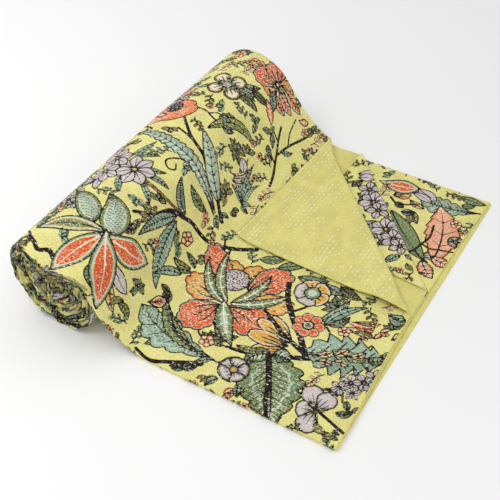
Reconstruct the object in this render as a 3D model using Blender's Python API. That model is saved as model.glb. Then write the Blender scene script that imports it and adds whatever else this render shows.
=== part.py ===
"""A hand-stitched cotton quilt, folded in four along its length and rolled up from one end.

The quilt is one cloth, so it is one solid: the roll, whose ends show its turns of four layers, and the loose
end, whose four layers lie a little apart. Two far corners of the loose end are turned back.

Metres, +Z up. X runs along the quilt's length, from the roll to the end hem, and Y runs across it, from the
folds to the free long hems. The origin is the middle of the box, on the floor.

Places on the loose end are given as (u, y, h): u is the way along the cloth from the end hem to the roll, y is
the way across from the folds, and h is the height over the cloth's underside.
"""

import math

import bmesh
import bpy
import numpy as np

# The cloth
QUILT_WIDTH = 2.286
CLOTH = 0.0018  # one quilted layer
AIR = 0.0006  # between two layers
PITCH = CLOTH + AIR
LAYERS = 4
STACK = LAYERS * PITCH - AIR
ACROSS = QUILT_WIDTH / LAYERS

# The roll
ROLL_RADIUS = 0.079  # where the loose end leaves it
ROLL_AXIS_FROM_HEM = 0.456
ROLL_AXIS_HEIGHT = 0.0725
TURNS = 7
CORE_HOLLOW = 0.016  # how deep the loose middle lies
CORE_SHIFT = 0.005  # how far off the axis its deepest place is
GROOVE = 0.004  # between two turns, on the ends
NIP_ANGLE = math.radians(14)  # the last turn is closed up to the loose end over this angle
NEAR_OVERHANG = 0.025  # the outer turns stand out at the top of the near end
NEAR_SAG = 0.19  # share by which the near end's top is pressed in
SAG_REACH = 0.075  # how far along the roll the sag goes
SAG_ANGLE = math.radians(74)
SAG_WIDTH = math.radians(53)
FLOOR_SHARE = 0.8  # how much of its depth in the roll an inner turn keeps over the floor
SKIN_INSET = 0.003  # the skin stops this short of the middle of the outer turn on each end

# Where the turns bulge: by how much, about which angle, and how far to both sides
LEFT_LUMP = (0.0022, math.radians(185), math.radians(60))
LOW_LUMP = (0.0085, math.radians(318), math.radians(46))
SLACK_LUMP = (0.0012, math.radians(150), math.radians(110))
SLACK_WAVES = (2, 9)  # round the roll, and along it for each metre
LUMPS_END = TURNS + 2  # turns in which the bulges die out

# The two ends
HIGH_ANGLE = math.radians(75)  # where the near end stands out most
HIGH_REACH = math.radians(80)
SHELF = 0.004  # how much one side of a turn stands out over the other
NEAR_DISH = 0.007  # how deep the near end's middle lies
FAR_DISH = 0.008

# The rise of the loose end up the roll's side
RISE_RADIUS = 0.0927
RISE_FROM_HEM_NEAR = 0.289
RISE_FROM_HEM_FAR = 0.272
ROOT_FROM_HEM = 0.345  # past here the layers are one with the roll
ROOT_INSET = 0.0003
ROOT_SQUEEZE = 0.0005  # above and below

# The turned-back corners
FOLD_START_U = 0.0112  # both fold lines start on the end hems, which lag the lowest one by this
TOP_FOLD_Y = 0.260  # where the top layer's fold line leaves its end hem
TOP_FOLD_END_U = 0.310  # where it meets the long hem
TOP_FOLD_RADIUS = 0.0034
TOP_REST = 0.0052
SECOND_FOLD_Y = 0.3225
SECOND_FOLD_END_U = 0.2393
SECOND_FOLD_RADII = (0.0016, 0.0042)  # at the end hem, at the long hem
SETTLE = 0.034  # past a fold the turned cloth settles over this length
SECOND_REST = PITCH + 0.0008
TOP_LIFT = 0.0040  # the top layer rides over the second layer's corner
LIFT_START_Y = SECOND_FOLD_Y - 0.035
LIFT_RUN_Y = 0.032
LIFT_END_U = 0.290
LIFT_RUN_U = 0.026
SECOND_PUFF = (0.0035, 0.075)  # how much the second layer puffs up by its fold's far end, and how far round it
TOP_PUFF = (0.0075, 0.085)
TOP_PUFF_SHIFT = 0.012  # the top layer's puff lies this far past its fold
HEM_LIFT = (0.006, 0.050)  # the same for the top layer's turned hem
HEM_LIFT_U = 0.060
HEM_LIFT_SHIFT = 0.006

# How far the third layer's end hem lies behind the lowest one's
THIRD_LAG = 0.009
THIRD_LAG_RUN = 0.30
THIRD_RETURN = 0.005
THIRD_RETURN_START = 0.40
THIRD_RETURN_RUN = 0.15

# The mesh
STATIONS = (0.030, 0.062, 0.098, 0.134, 0.170, 0.206, SECOND_FOLD_END_U, 0.266, 0.288, TOP_FOLD_END_U, 0.328)
ROOT_ROWS = (-0.004, 0.003, 0.011)  # from the root's end
RIM_STEPS = 44
ROLL_ROWS = (0.0, 0.04, 0.10, 0.18, 0.30, 0.44, 0.58, 0.72, 0.86, 1.0)  # shares of the way along the roll
ROOT_STEPS = 5
FOLD_STEPS = 5


def smooth(x):
    """0 below 0, 1 above 1 and an even S between."""
    x = min(max(x, 0.0), 1.0)
    return x * x * (3 - 2 * x)


def bump(x):
    """1 at 0 and 0 beyond 1 either way."""
    return smooth(1 - abs(x))


def blend(a, b, share):
    return a + (b - a) * share


# ---------------------------------------------------------------------------------------------------- the path


class Path:
    """The underside of the loose end at one y: floor, rise, common tangent, and round the roll."""

    def __init__(self, y):
        share = y / ACROSS
        self.foot = blend(RISE_FROM_HEM_NEAR, RISE_FROM_HEM_FAR, share)
        inner = ROLL_RADIUS - STACK
        dx, dz = ROLL_AXIS_FROM_HEM - self.foot, RISE_RADIUS - ROLL_AXIS_HEIGHT
        apart = math.hypot(dx, dz)
        self.slope = math.asin((RISE_RADIUS + inner) / apart) - math.atan2(dz, dx)
        self.straight = math.sqrt(apart**2 - (RISE_RADIUS + inner) ** 2)
        self.leave = self.foot + RISE_RADIUS * self.slope + self.straight
        self.leave_angle = math.pi / 2 - self.slope

    def at(self, u, h):
        """The x and z of a place h over the underside."""
        if u < self.foot:
            return -u, h
        angle = min((u - self.foot) / RISE_RADIUS, self.slope)
        along = max(u - self.foot - RISE_RADIUS * self.slope, 0.0)
        x = -self.foot - RISE_RADIUS * math.sin(angle) - along * math.cos(angle) + h * math.sin(angle)
        z = RISE_RADIUS * (1 - math.cos(angle)) + along * math.sin(angle) + h * math.cos(angle)
        return x, z


def place(u, y, h):
    x, z = Path(y).at(u, h)
    return x, y, z


# ---------------------------------------------------------------------------------------------------- the roll


def lumps(angle, y):
    """How much a turn bulges there, in metres. It is nothing where the loose end leaves."""
    left, low, slack = (
        height * bump((angle - middle) / reach) for height, middle, reach in (LEFT_LUMP, LOW_LUMP, SLACK_LUMP)
    )
    return left + low + slack * math.sin(SLACK_WAVES[0] * angle + SLACK_WAVES[1] * y)


def sag(angle, y):
    """The share of the radius that is left where the near end is pressed in."""
    return 1 - NEAR_SAG * bump((angle - SAG_ANGLE) / SAG_WIDTH) * math.exp(-((max(y, 0.0) / SAG_REACH) ** 2))


def turn_point(turn, step, y):
    """The x and z on the outer side of a turn, step angular steps past where the loose end leaves."""
    path = Path(min(max(y, 0.0), ACROSS))
    sweep = (2 * math.pi - NIP_ANGLE) * step / RIM_STEPS
    angle = path.leave_angle + sweep
    radius = ROLL_RADIUS - STACK * (turn + sweep / (2 * math.pi)) + lumps(angle, y) * (1 - turn / LUMPS_END)
    radius *= sag(angle, y)
    x = -ROLL_AXIS_FROM_HEM + radius * math.cos(angle)
    z = ROLL_AXIS_HEIGHT + radius * math.sin(angle)
    return x, max(z, STACK * turn * FLOOR_SHARE)


def end_y(step, depth, far):
    """The y of an end's surface: depth runs from 0 on the outermost turn to 1 in the middle."""
    angle = Path(ACROSS if far else 0.0).leave_angle + (2 * math.pi - NIP_ANGLE) * step / RIM_STEPS
    high = bump((angle - HIGH_ANGLE) / HIGH_REACH)
    shelf = SHELF * math.sin(angle * 2 + 1) * (step / RIM_STEPS) * (1 - step / RIM_STEPS) * 4
    if far:
        return ACROSS - shelf - FAR_DISH * depth
    return -NEAR_OVERHANG * high * (1 - depth) + shelf + NEAR_DISH * depth


def root_y(k, far):
    """The y of the root's side, k steps from where the loose end leaves the roll."""
    return blend(end_y(0, 0.0, far), ACROSS if far else 0.0, k / ROOT_STEPS)


def roll_mesh():
    """The roll with the root of the loose end, as one skin and two ends."""
    mesh = bmesh.new()
    verts = {}

    def vert(key, co):
        if key not in verts:
            verts[key] = mesh.verts.new(co)
        return verts[key]

    def root_place(k, y, h):
        return Path(y).at(blend(Path(y).leave, ROOT_FROM_HEM, k / ROOT_STEPS), h)

    def rim(n, y):
        """The outline at one y, from the root's end over the top and round to the root's end again."""
        if n < ROOT_STEPS:
            return root_place(ROOT_STEPS - n, y, STACK)
        if n <= ROOT_STEPS + RIM_STEPS:
            return turn_point(0, n - ROOT_STEPS, y)
        return root_place(n - ROOT_STEPS - RIM_STEPS + 1, y, 0.0)

    count = 2 * ROOT_STEPS + RIM_STEPS  # the nip takes the place of the root's first two undersides

    def rim_y(n, far):
        inward = -SKIN_INSET if far else SKIN_INSET
        if n < ROOT_STEPS:
            return root_y(ROOT_STEPS - n, far) + inward
        if n <= ROOT_STEPS + RIM_STEPS:
            return end_y(n - ROOT_STEPS, 0.0, far) + inward
        return root_y(n - ROOT_STEPS - RIM_STEPS + 1, far) + inward

    for row, share in enumerate(ROLL_ROWS):
        for n in range(count):
            y = blend(rim_y(n, False), rim_y(n, True), share)
            x, z = rim(n, y)
            vert(("skin", row, n), (x, y, z))
    for row in range(len(ROLL_ROWS) - 1):
        for n in range(count - 1):
            corners = ((row, n), (row + 1, n), (row + 1, n + 1), (row, n + 1))
            mesh.faces.new([verts[("skin", *c)] for c in corners])
        # the root's end, between the loose end's two sides
        last = count - 1
        corners = ((row, last), (row + 1, last), (row + 1, 0), (row, 0))
        mesh.faces.new([verts[("skin", *c)] for c in corners])

    for far in (False, True):
        add_end(mesh, verts, vert, root_place, far)
    bmesh.ops.triangulate(mesh, faces=mesh.faces[:])
    bmesh.ops.recalc_face_normals(mesh, faces=mesh.faces[:])
    return mesh


def add_end(mesh, verts, vert, root_place, far):
    """One end of the roll: each turn's middle stands out and its sides lie in a groove."""
    row = len(ROLL_ROWS) - 1 if far else 0
    groove = -GROOVE if far else GROOVE
    face_y = ACROSS if far else 0.0

    def line(half, step):
        """A point on a line of the spiral: even halves are the sides of a turn, odd ones its middle."""
        if half == 0:
            return verts[("skin", row, ROOT_STEPS + step)]
        depth = half / (2 * TURNS)
        y = end_y(step, depth, far) + (0.0 if half % 2 else groove)
        x, z = turn_point(half / 2, step, y)
        return vert(("end", far, half, step), (x, y, z))

    def face(*corners):
        mesh.faces.new(corners if not far else corners[::-1])

    halves = 2 * TURNS
    for half in range(halves):
        for step in range(RIM_STEPS):
            face(line(half, step), line(half, step + 1), line(half + 1, step + 1), line(half + 1, step))
    for half in range(1, halves - 2):  # the turn's end runs into the next turn's start
        face(line(half, RIM_STEPS), line(half + 2, 0), line(half + 3, 0), line(half + 1, RIM_STEPS))
    # the loose middle
    depth = -CORE_HOLLOW if far else CORE_HOLLOW
    centre = mesh.verts.new((-ROLL_AXIS_FROM_HEM - CORE_SHIFT, face_y + depth, ROLL_AXIS_HEIGHT + CORE_SHIFT))
    ring = [line(halves, step) for step in range(RIM_STEPS + 1)]
    inner = [line(halves, RIM_STEPS), line(halves - 1, RIM_STEPS), line(halves - 2, RIM_STEPS), line(halves, 0)]
    for a, b in zip(ring, ring[1:]):
        face(a, b, centre)
    for a, b in zip(inner, inner[1:]):
        face(a, b, centre)
    # the root: its two sides, with its middle standing out as a turn's does
    middle = []
    for k in range(1, ROOT_STEPS + 1):
        x, z = root_place(k, face_y, STACK / 2)
        middle.append(mesh.verts.new((x, root_y(k, far), z)))
    top = [verts[("skin", row, ROOT_STEPS - k)] for k in range(1, ROOT_STEPS + 1)]
    under = [verts[("skin", row, ROOT_STEPS + RIM_STEPS + k - 1)] for k in range(2, ROOT_STEPS + 1)]
    nip = verts[("skin", row, ROOT_STEPS + RIM_STEPS)]
    face(line(0, 0), line(1, 0), middle[0], top[0])
    face(line(1, 0), line(2, 0), nip, middle[0])
    face(line(2, 0), line(3, 0), line(1, RIM_STEPS), nip)
    face(middle[0], nip, under[0], middle[1])
    for k in range(ROOT_STEPS - 1):
        face(top[k], middle[k], middle[k + 1], top[k + 1])
        if k:
            face(middle[k], under[k - 1], under[k], middle[k + 1])
    face(top[-1], middle[-1], under[-1])


# ---------------------------------------------------------------------------------------------- the loose end


class Fold:
    """A corner turned back over a line from the end hem to the long hem."""

    def __init__(self, start_y, end_u, radii, rest):
        self.start = np.array((FOLD_START_U, start_y))
        self.end = np.array((end_u, ACROSS))
        run = self.end - self.start
        self.length = float(np.linalg.norm(run))
        self.along = run / self.length
        self.out = np.array((-self.along[1], self.along[0]))  # to the corner that is turned
        self.radii = radii
        self.rest = rest  # how far the turned cloth comes to lie over its own layer, middle to middle

    def y_at(self, u):
        return self.start[1] + (u - self.start[0]) * self.along[1] / self.along[0]

    def turned(self, u, y):
        """Where a place beyond the line comes to lie: its u and y, and its height over its own layer."""
        flat = np.array((u, y)) - self.start
        t, d = float(flat @ self.along), float(flat @ self.out)
        radius = blend(*self.radii, min(max(t / self.length, 0.0), 1.0))
        past = max(d - (math.pi - 1) * radius, 0.0)
        spot = self.start + t * self.along - (radius + past) * self.out
        rise = blend(2 * radius, min(2 * radius, self.rest), smooth(past / SETTLE))
        return float(spot[0]), float(spot[1]), rise

    def arc(self, u, y, step):
        """A place on the fold's round, step steps of FOLD_STEPS round it."""
        flat = np.array((u, y)) - self.start
        t = float(flat @ self.along)
        radius = blend(*self.radii, min(max(t / self.length, 0.0), 1.0))
        turn = math.pi * step / FOLD_STEPS
        spot = self.start + t * self.along + (radius * math.sin(turn) - radius) * self.out
        return float(spot[0]), float(spot[1]), radius * (1 - math.cos(turn))


TOP_FOLD = Fold(TOP_FOLD_Y, TOP_FOLD_END_U, (TOP_FOLD_RADIUS, TOP_FOLD_RADIUS), TOP_REST)
SECOND_FOLD = Fold(SECOND_FOLD_Y, SECOND_FOLD_END_U, SECOND_FOLD_RADII, SECOND_REST)


# The height of each layer's middle where it lies flat
LEVELS = {layer: (3.5 - k) * PITCH - AIR / 2 for k, layer in enumerate(("top", "second", "third", "low"))}


def near(u, y, at_u, at_y, height, reach):
    """A round swelling."""
    return height * bump(math.hypot(u - at_u, y - at_y) / reach)


def second_height(u, y):
    return LEVELS["second"] + near(u, y, SECOND_FOLD_END_U, ACROSS, *SECOND_PUFF)


def top_height(u, y):
    """The top layer rides over the second layer's corner."""
    over = smooth((y - LIFT_START_Y) / LIFT_RUN_Y) * smooth((LIFT_END_U - u) / LIFT_RUN_U)
    return LEVELS["top"] + TOP_LIFT * over + near(u, y, TOP_FOLD_END_U + TOP_PUFF_SHIFT, ACROSS, *TOP_PUFF)


def top_lift(u, y):
    """The turned hem of the top layer stands up a little."""
    return near(u, y, HEM_LIFT_U, TOP_FOLD_Y + HEM_LIFT_SHIFT, *HEM_LIFT)


def hem_lag(layer, y):
    """How far a layer's end hem lies behind the lowest one's."""
    if layer == "low":
        return 0.0
    if layer == "third":
        back = THIRD_RETURN * smooth((y - THIRD_RETURN_START) / THIRD_RETURN_RUN)
        return THIRD_LAG * smooth(y / THIRD_LAG_RUN) - back
    reach = TOP_FOLD_Y if layer == "top" else SECOND_FOLD_Y
    return FOLD_START_U * smooth(y / reach)


def stations(layer, y):
    """The u of each row across the loose end, from the hem into the root."""
    return (hem_lag(layer, y), *STATIONS, *(ROOT_FROM_HEM + way for way in ROOT_ROWS))


ROWS = 1 + len(STATIONS) + len(ROOT_ROWS)


def inset(row, u, y, h):
    """Past the root's end a place lies a little inside the root, so that the two cross cleanly."""
    if row < ROWS - 2:
        return place(u, y, h)
    share = 1 - 2 * ROOT_SQUEEZE / STACK
    return place(u, blend(ACROSS / 2, y, 1 - 2 * ROOT_INSET / ACROSS), STACK / 2 + (h - STACK / 2) * share)


class Sheet:
    """The middle surface of the four layers, as one mesh that is thickened afterwards."""

    def __init__(self):
        self.mesh = bmesh.new()
        self.verts = {}

    def vert(self, key, co=None):
        if key not in self.verts:
            self.verts[key] = self.mesh.verts.new(co)
        return self.verts[key]

    def face(self, *keys):
        self.mesh.faces.new([self.verts[key] for key in keys])

    def flat_layer(self, layer, columns):
        for row in range(ROWS):
            for j, y in enumerate(columns):
                u = stations(layer, y)[row]
                self.vert((layer, row, j), inset(row, u, y, LEVELS[layer]))
        for row in range(ROWS - 1):
            for j in range(len(columns) - 1):
                self.face((layer, row, j), (layer, row + 1, j), (layer, row + 1, j + 1), (layer, row, j + 1))

    def turned_layer(self, layer, height, near_columns, fold, lift=None):
        """A layer whose columns meet its rows on the fold line, so that cells are cut along it."""
        first = len(near_columns) - 1
        last_row = STATIONS.index(fold.end[0]) + 1
        columns = list(near_columns) + [fold.y_at(STATIONS[k]) for k in range(last_row - 1)] + [ACROSS]
        for row in range(ROWS):
            for j, y in enumerate(columns):
                u = stations(layer, y)[row]
                i = j - first
                if i < row or row > last_row:
                    self.vert((layer, row, j), inset(row, u, y, height(u, y)))
                elif i > row:
                    tu, ty, rise = fold.turned(u, y)
                    lifted = lift(tu, ty) if lift else 0.0
                    self.vert((layer, row, j), place(tu, ty, height(tu, ty) + rise + lifted))
                else:
                    for step in range(FOLD_STEPS + 1):
                        tu, ty, rise = fold.arc(u, y, step)
                        self.vert((layer, row, "arc", step), place(tu, ty, height(tu, ty) + rise))

        def key(row, j, turned):
            if j - first == row and row <= last_row:
                return (layer, row, "arc", FOLD_STEPS if turned else 0)
            return (layer, row, j)

        for row in range(ROWS - 1):
            for j in range(len(columns) - 1):
                i = j - first
                if i == row and row < last_row:
                    low = [key(row, j, False), key(row + 1, j, False), key(row + 1, j + 1, False)]
                    high = [key(row, j, True), key(row + 1, j + 1, True), key(row, j + 1, True)]
                    self.face(*low)
                    self.face(*high)
                    continue
                turned = i > row
                keys = [key(row, j, turned), key(row + 1, j, turned), key(row + 1, j + 1, turned)]
                self.face(*keys, key(row, j + 1, turned))
        for row in range(last_row):
            for step in range(FOLD_STEPS):
                keys = [(layer, row, "arc", step), (layer, row + 1, "arc", step)]
                self.face(*keys, (layer, row + 1, "arc", step + 1), (layer, row, "arc", step + 1))

    def edge_fold(self, name, upper, upper_j, lower, lower_j, centre_y, outward, steps):
        """The round that joins two layers along a long side."""
        for row in range(ROWS):
            u = stations("low", 0.0)[row] if row else hem_lag(lower, centre_y)
            middle, radius = (LEVELS[upper] + LEVELS[lower]) / 2, (LEVELS[upper] - LEVELS[lower]) / 2
            self.verts[(name, row, 0)] = self.verts[(upper, row, upper_j)]
            self.verts[(name, row, steps)] = self.verts[(lower, row, lower_j)]
            for step in range(1, steps):
                turn = math.pi * step / steps
                y = centre_y + outward * radius * math.sin(turn)
                self.vert((name, row, step), inset(row, u, y, middle + radius * math.cos(turn)))
        for row in range(ROWS - 1):
            for step in range(steps):
                keys = [(name, row, step), (name, row + 1, step), (name, row + 1, step + 1)]
                self.face(*keys, (name, row, step + 1))


def even_columns(start, end, count):
    return [blend(start, end, k / count) for k in range(count + 1)]


def sheet_mesh():
    sheet = Sheet()
    outer_y = 2 * PITCH - AIR / 2  # so that the outer fold's skin reaches y = 0
    far_y = ACROSS - PITCH / 2 - CLOTH / 2
    sheet.turned_layer("top", top_height, even_columns(outer_y, TOP_FOLD_Y, 6), TOP_FOLD, top_lift)
    sheet.turned_layer("second", second_height, even_columns(outer_y, SECOND_FOLD_Y, 7), SECOND_FOLD)
    plain = even_columns(outer_y, far_y, 12)
    sheet.flat_layer("third", plain)
    sheet.flat_layer("low", plain)
    last = len(plain) - 1
    sheet.edge_fold("outer", "top", 0, "low", 0, outer_y, -1, 7)
    sheet.edge_fold("inner", "second", 0, "third", 0, outer_y, -1, 5)
    sheet.edge_fold("far", "third", last, "low", last, far_y, 1, 5)
    bmesh.ops.recalc_face_normals(sheet.mesh, faces=sheet.mesh.faces[:])
    return sheet.mesh


# ------------------------------------------------------------------------------------------------- the objects


def cotton():
    material = bpy.data.materials.new("printed_cotton")
    material.use_nodes = True
    shader = material.node_tree.nodes["Principled BSDF"]
    shader.inputs["Base Color"].default_value = (0.72, 0.68, 0.27, 1.0)
    shader.inputs["Roughness"].default_value = 0.9
    shader.inputs["Metallic"].default_value = 0.0
    return material


def object_from(name, mesh):
    data = bpy.data.meshes.new(name)
    mesh.to_mesh(data)
    mesh.free()
    thing = bpy.data.objects.new(name, data)
    bpy.context.scene.collection.objects.link(thing)
    return thing


def centre_on_floor(things):
    """Moves the meshes so that the origin is the middle of their box, on the floor."""
    points = np.array([v.co for thing in things for v in thing.data.vertices])
    low, high = points.min(0), points.max(0)
    shift = np.array(((low[0] + high[0]) / 2, (low[1] + high[1]) / 2, 0.0))
    for thing in things:
        for v in thing.data.vertices:
            v.co = (v.co[0] - shift[0], v.co[1] - shift[1], v.co[2])


def main():
    for old in list(bpy.data.objects):
        bpy.data.objects.remove(old, do_unlink=True)
    quilt = object_from("quilt", roll_mesh())
    loose = object_from("loose_end", sheet_mesh())
    centre_on_floor([quilt, loose])
    quilt.data.materials.append(cotton())
    loose.data.materials.append(quilt.data.materials[0])

    thicken = loose.modifiers.new("cloth", "SOLIDIFY")
    thicken.thickness = CLOTH
    thicken.offset = 0.0
    thicken.use_even_offset = True
    loose.hide_render = True
    loose.display_type = "WIRE"

    join = quilt.modifiers.new("one_cloth", "BOOLEAN")
    join.operation = "UNION"
    join.solver = "EXACT"
    join.object = loose
    quilt.data.shade_smooth()


main()
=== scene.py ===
"""The kantha quilt's looks: its cloth in the folds of the CAD solid, its print, hems and running stitches."""

import math

import bpy
import numpy as np
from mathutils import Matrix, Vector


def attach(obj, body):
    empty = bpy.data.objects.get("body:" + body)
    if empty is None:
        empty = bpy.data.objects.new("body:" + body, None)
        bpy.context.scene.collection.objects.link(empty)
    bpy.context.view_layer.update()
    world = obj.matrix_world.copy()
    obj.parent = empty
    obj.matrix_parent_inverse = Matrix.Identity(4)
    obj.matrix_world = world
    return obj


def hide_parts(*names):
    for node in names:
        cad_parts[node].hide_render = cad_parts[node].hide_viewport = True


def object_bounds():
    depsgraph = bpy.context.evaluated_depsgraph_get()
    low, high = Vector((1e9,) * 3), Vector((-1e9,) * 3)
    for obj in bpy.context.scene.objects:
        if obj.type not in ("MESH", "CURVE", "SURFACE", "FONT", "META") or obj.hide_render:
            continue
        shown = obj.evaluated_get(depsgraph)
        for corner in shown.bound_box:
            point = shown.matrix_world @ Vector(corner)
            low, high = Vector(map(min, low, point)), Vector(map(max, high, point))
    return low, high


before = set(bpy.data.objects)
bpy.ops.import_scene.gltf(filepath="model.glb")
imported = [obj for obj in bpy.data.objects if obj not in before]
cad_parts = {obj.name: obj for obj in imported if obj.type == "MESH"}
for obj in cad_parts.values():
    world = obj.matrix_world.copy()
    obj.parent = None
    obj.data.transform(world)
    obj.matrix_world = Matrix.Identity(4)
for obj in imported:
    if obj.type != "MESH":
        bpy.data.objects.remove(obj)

CAD_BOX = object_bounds()

# The cloth and the path it takes, as in part.py. Places on the loose end are (u, y, h): u is the way along
# the cloth from the end hem, y the way across from the folds, and h the height over the cloth's underside.
CLOTH = 0.0018
AIR = 0.0006
PITCH = CLOTH + AIR
STACK = 4 * PITCH - AIR
ACROSS = 0.5715
LEVELS = [(3.5 - k) * PITCH - AIR / 2 for k in range(4)]  # the middles of the four layers, from the top down
ROLL_RADIUS = 0.079
ROLL_AXIS_FROM_HEM = 0.456
ROLL_AXIS_HEIGHT = 0.0725
TURNS = 7
NIP_ANGLE = math.radians(14)
NEAR_OVERHANG = 0.025
NEAR_SAG = 0.19
SAG_REACH = 0.075
SAG_ANGLE = math.radians(74)
SAG_WIDTH = math.radians(53)
FLOOR_SHARE = 0.8  # how much of its depth in the roll an inner turn keeps over the floor
FLOOR_TURN = 0.8  # and from which turn on
LEFT_LUMP = (0.0022, math.radians(185), math.radians(60))  # height, where it lies and how far it reaches
LOW_LUMP = (0.0085, math.radians(318), math.radians(46))
SLACK_LUMP = (0.0012, math.radians(150), math.radians(110))
SLACK_WAVES = (2, 9)  # round the roll, and along it for each metre
LUMPS_END = TURNS + 2  # turns in which the bulges die out
HIGH_ANGLE = math.radians(75)  # where the near end stands out most
HIGH_REACH = math.radians(80)
SHELF = 0.004  # how much one side of a turn stands out over the other
NEAR_DISH = 0.007  # how deep the near end's middle lies
FAR_DISH = 0.008
RISE_RADIUS = 0.0927
RISE_FROM_HEM_NEAR = 0.289
RISE_FROM_HEM_FAR = 0.272
ROOT_FROM_HEM = 0.345
FOLD_START_U = 0.0112
# each fold's start and end, its radius at both, and the height at which the turned cloth comes to rest
TOP_FOLD = ((FOLD_START_U, 0.260), (0.310, ACROSS), (0.0034, 0.0034), 0.0052)
SECOND_FOLD = ((FOLD_START_U, 0.3225), (0.2393, ACROSS), (0.0016, 0.0042), PITCH + 0.0008)
SETTLE = 0.034
TOP_LIFT = 0.0040
LIFT_START_Y = SECOND_FOLD[0][1] - 0.035
LIFT_RUN_Y = 0.032
LIFT_END_U = 0.290
LIFT_RUN_U = 0.026
SECOND_PUFF = (0.0035, 0.075)
TOP_PUFF = (0.0075, 0.085)
TOP_PUFF_SHIFT = 0.012
HEM_LIFT = (0.006, 0.050)
HEM_LIFT_U = 0.060
HEM_LIFT_SHIFT = 0.006
THIRD_LAG = 0.009
THIRD_LAG_RUN = 0.30
THIRD_RETURN = 0.005
THIRD_RETURN_START = 0.40
THIRD_RETURN_RUN = 0.15
ORIGIN = np.array((CAD_BOX[1][0], -0.2751, 0.0))  # the loose end's near corner in the CAD's frame

CELL = 0.00145  # the finest cell of a printed face
FOLD_CELLS = 8  # round a folded edge
CENTRES = slice(2, None, 4)  # the middles of the blocks of 4 by 4 cells
FINE, PLAIN_FINE, COARSE = 1, 2, 4  # cells to a face's side on the print, the plain side and hidden cloth
PRINT_PAST_FOLD = 0.008  # the cloth is fine this far past a fold line and short of it, where it still shows
PLAIN_BEFORE_FOLD = 0.006
FOLD_MARGIN = 0.012
FLAP_RIM = 0.020  # and this near the corner's hems
EDGE = STACK / 2  # radius of the folded edge of the four layers; their flat cloth starts this far from it
SWEEP = 2 * math.pi - NIP_ANGLE
MM = 0.001
WELD = 1e-6  # points nearer than this are one
TINY = 1e-12
PRINTED, BARE = 0, 1  # the two sides of the cloth, as numbers of its materials
GOLDEN = 0.618034  # steps of this share of a whole spread evenly
ROUGH_GOLDEN = 0.618
SILVER = 0.414214  # does the same in another direction


# ---------------------------------------------------------------------------- small sums


def smooth(x):
    x = np.clip(x, 0.0, 1.0)
    return x * x * (3 - 2 * x)


def bump(x):
    return smooth(1 - np.abs(x))


def blend(a, b, share):
    return a + (b - a) * share


def near(u, y, at_u, at_y, reach):
    return bump(np.hypot(u - at_u, y - at_y) / reach)


def lattice(i, j, seed):
    n = (i.astype(np.int64) * 374761393 + j.astype(np.int64) * 668265263 + seed * 974711) & 0x7FFFFFFF
    n = ((n ^ (n >> 13)) * 1274126177) & 0x7FFFFFFF
    return ((n ^ (n >> 16)) & 0xFFFF) / 65535.0


def noise(x, y, seed=0):
    """Smooth noise from -1 to 1, one lump to each unit."""
    x, y = np.broadcast_arrays(np.asarray(x, float), np.asarray(y, float))
    i, j = np.floor(x), np.floor(y)
    a, b = smooth(x - i), smooth(y - j)
    low = blend(lattice(i, j, seed), lattice(i + 1, j, seed), a)
    high = blend(lattice(i, j + 1, seed), lattice(i + 1, j + 1, seed), a)
    return 2 * blend(low, high, b) - 1


def unit(v):
    return v / np.maximum(np.linalg.norm(v, axis=-1, keepdims=True), TINY)


def between(grid, i, j):
    """A grid's values between its points."""
    i, j = np.clip(i, 0, grid.shape[0] - 1.001), np.clip(j, 0, grid.shape[1] - 1.001)
    a, b = i.astype(int), j.astype(int)
    p, q = (i - a, j - b) if grid.ndim == 2 else ((i - a)[..., None], (j - b)[..., None])
    return blend(blend(grid[a, b], grid[a + 1, b], p), blend(grid[a, b + 1], grid[a + 1, b + 1], p), q)


def polar(s, y, reach, angle):
    return s + reach * math.cos(angle), y + reach * math.sin(angle)


def closed(outline):
    return np.concatenate([outline, outline[:1]])


def tone(code):
    """A linear colour from its usual six digits."""
    parts = [int(code[i : i + 2], 16) / 255 for i in (0, 2, 4)]
    return np.array([p / 12.92 if p <= 0.04045 else ((p + 0.055) / 1.055) ** 2.4 for p in parts])


GROUND = tone("E9E28C")
PLAIN = tone("E6DD84")


# --------------------------------------------------------------------------- the cloth's way


def path(y):
    share = np.clip(y, 0.0, ACROSS) / ACROSS
    foot = blend(RISE_FROM_HEM_NEAR, RISE_FROM_HEM_FAR, share)
    inner = ROLL_RADIUS - STACK
    dx, dz = ROLL_AXIS_FROM_HEM - foot, RISE_RADIUS - ROLL_AXIS_HEIGHT
    apart = np.hypot(dx, dz)
    slope = np.arcsin((RISE_RADIUS + inner) / apart) - np.arctan2(dz, dx)
    straight = np.sqrt(apart**2 - (RISE_RADIUS + inner) ** 2)
    leave = foot + RISE_RADIUS * slope + straight
    return foot, slope, leave


def lie(u, y, h):
    """Places on the loose end and its rise, in the CAD's frame."""
    u, y, h = np.broadcast_arrays(u, y, h)
    foot, slope, _ = path(y)
    angle = np.clip((u - foot) / RISE_RADIUS, 0.0, slope)
    along = np.maximum(u - foot - RISE_RADIUS * slope, 0.0)
    x = -np.minimum(u, foot) - RISE_RADIUS * np.sin(angle) - along * np.cos(angle) + h * np.sin(angle)
    z = RISE_RADIUS * (1 - np.cos(angle)) + along * np.sin(angle) + h * np.cos(angle)
    return np.stack([x, y, z], -1) + ORIGIN


def lump(row, flat):
    height, middle, reach = row
    return height * bump((flat - middle) / reach)


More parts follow.
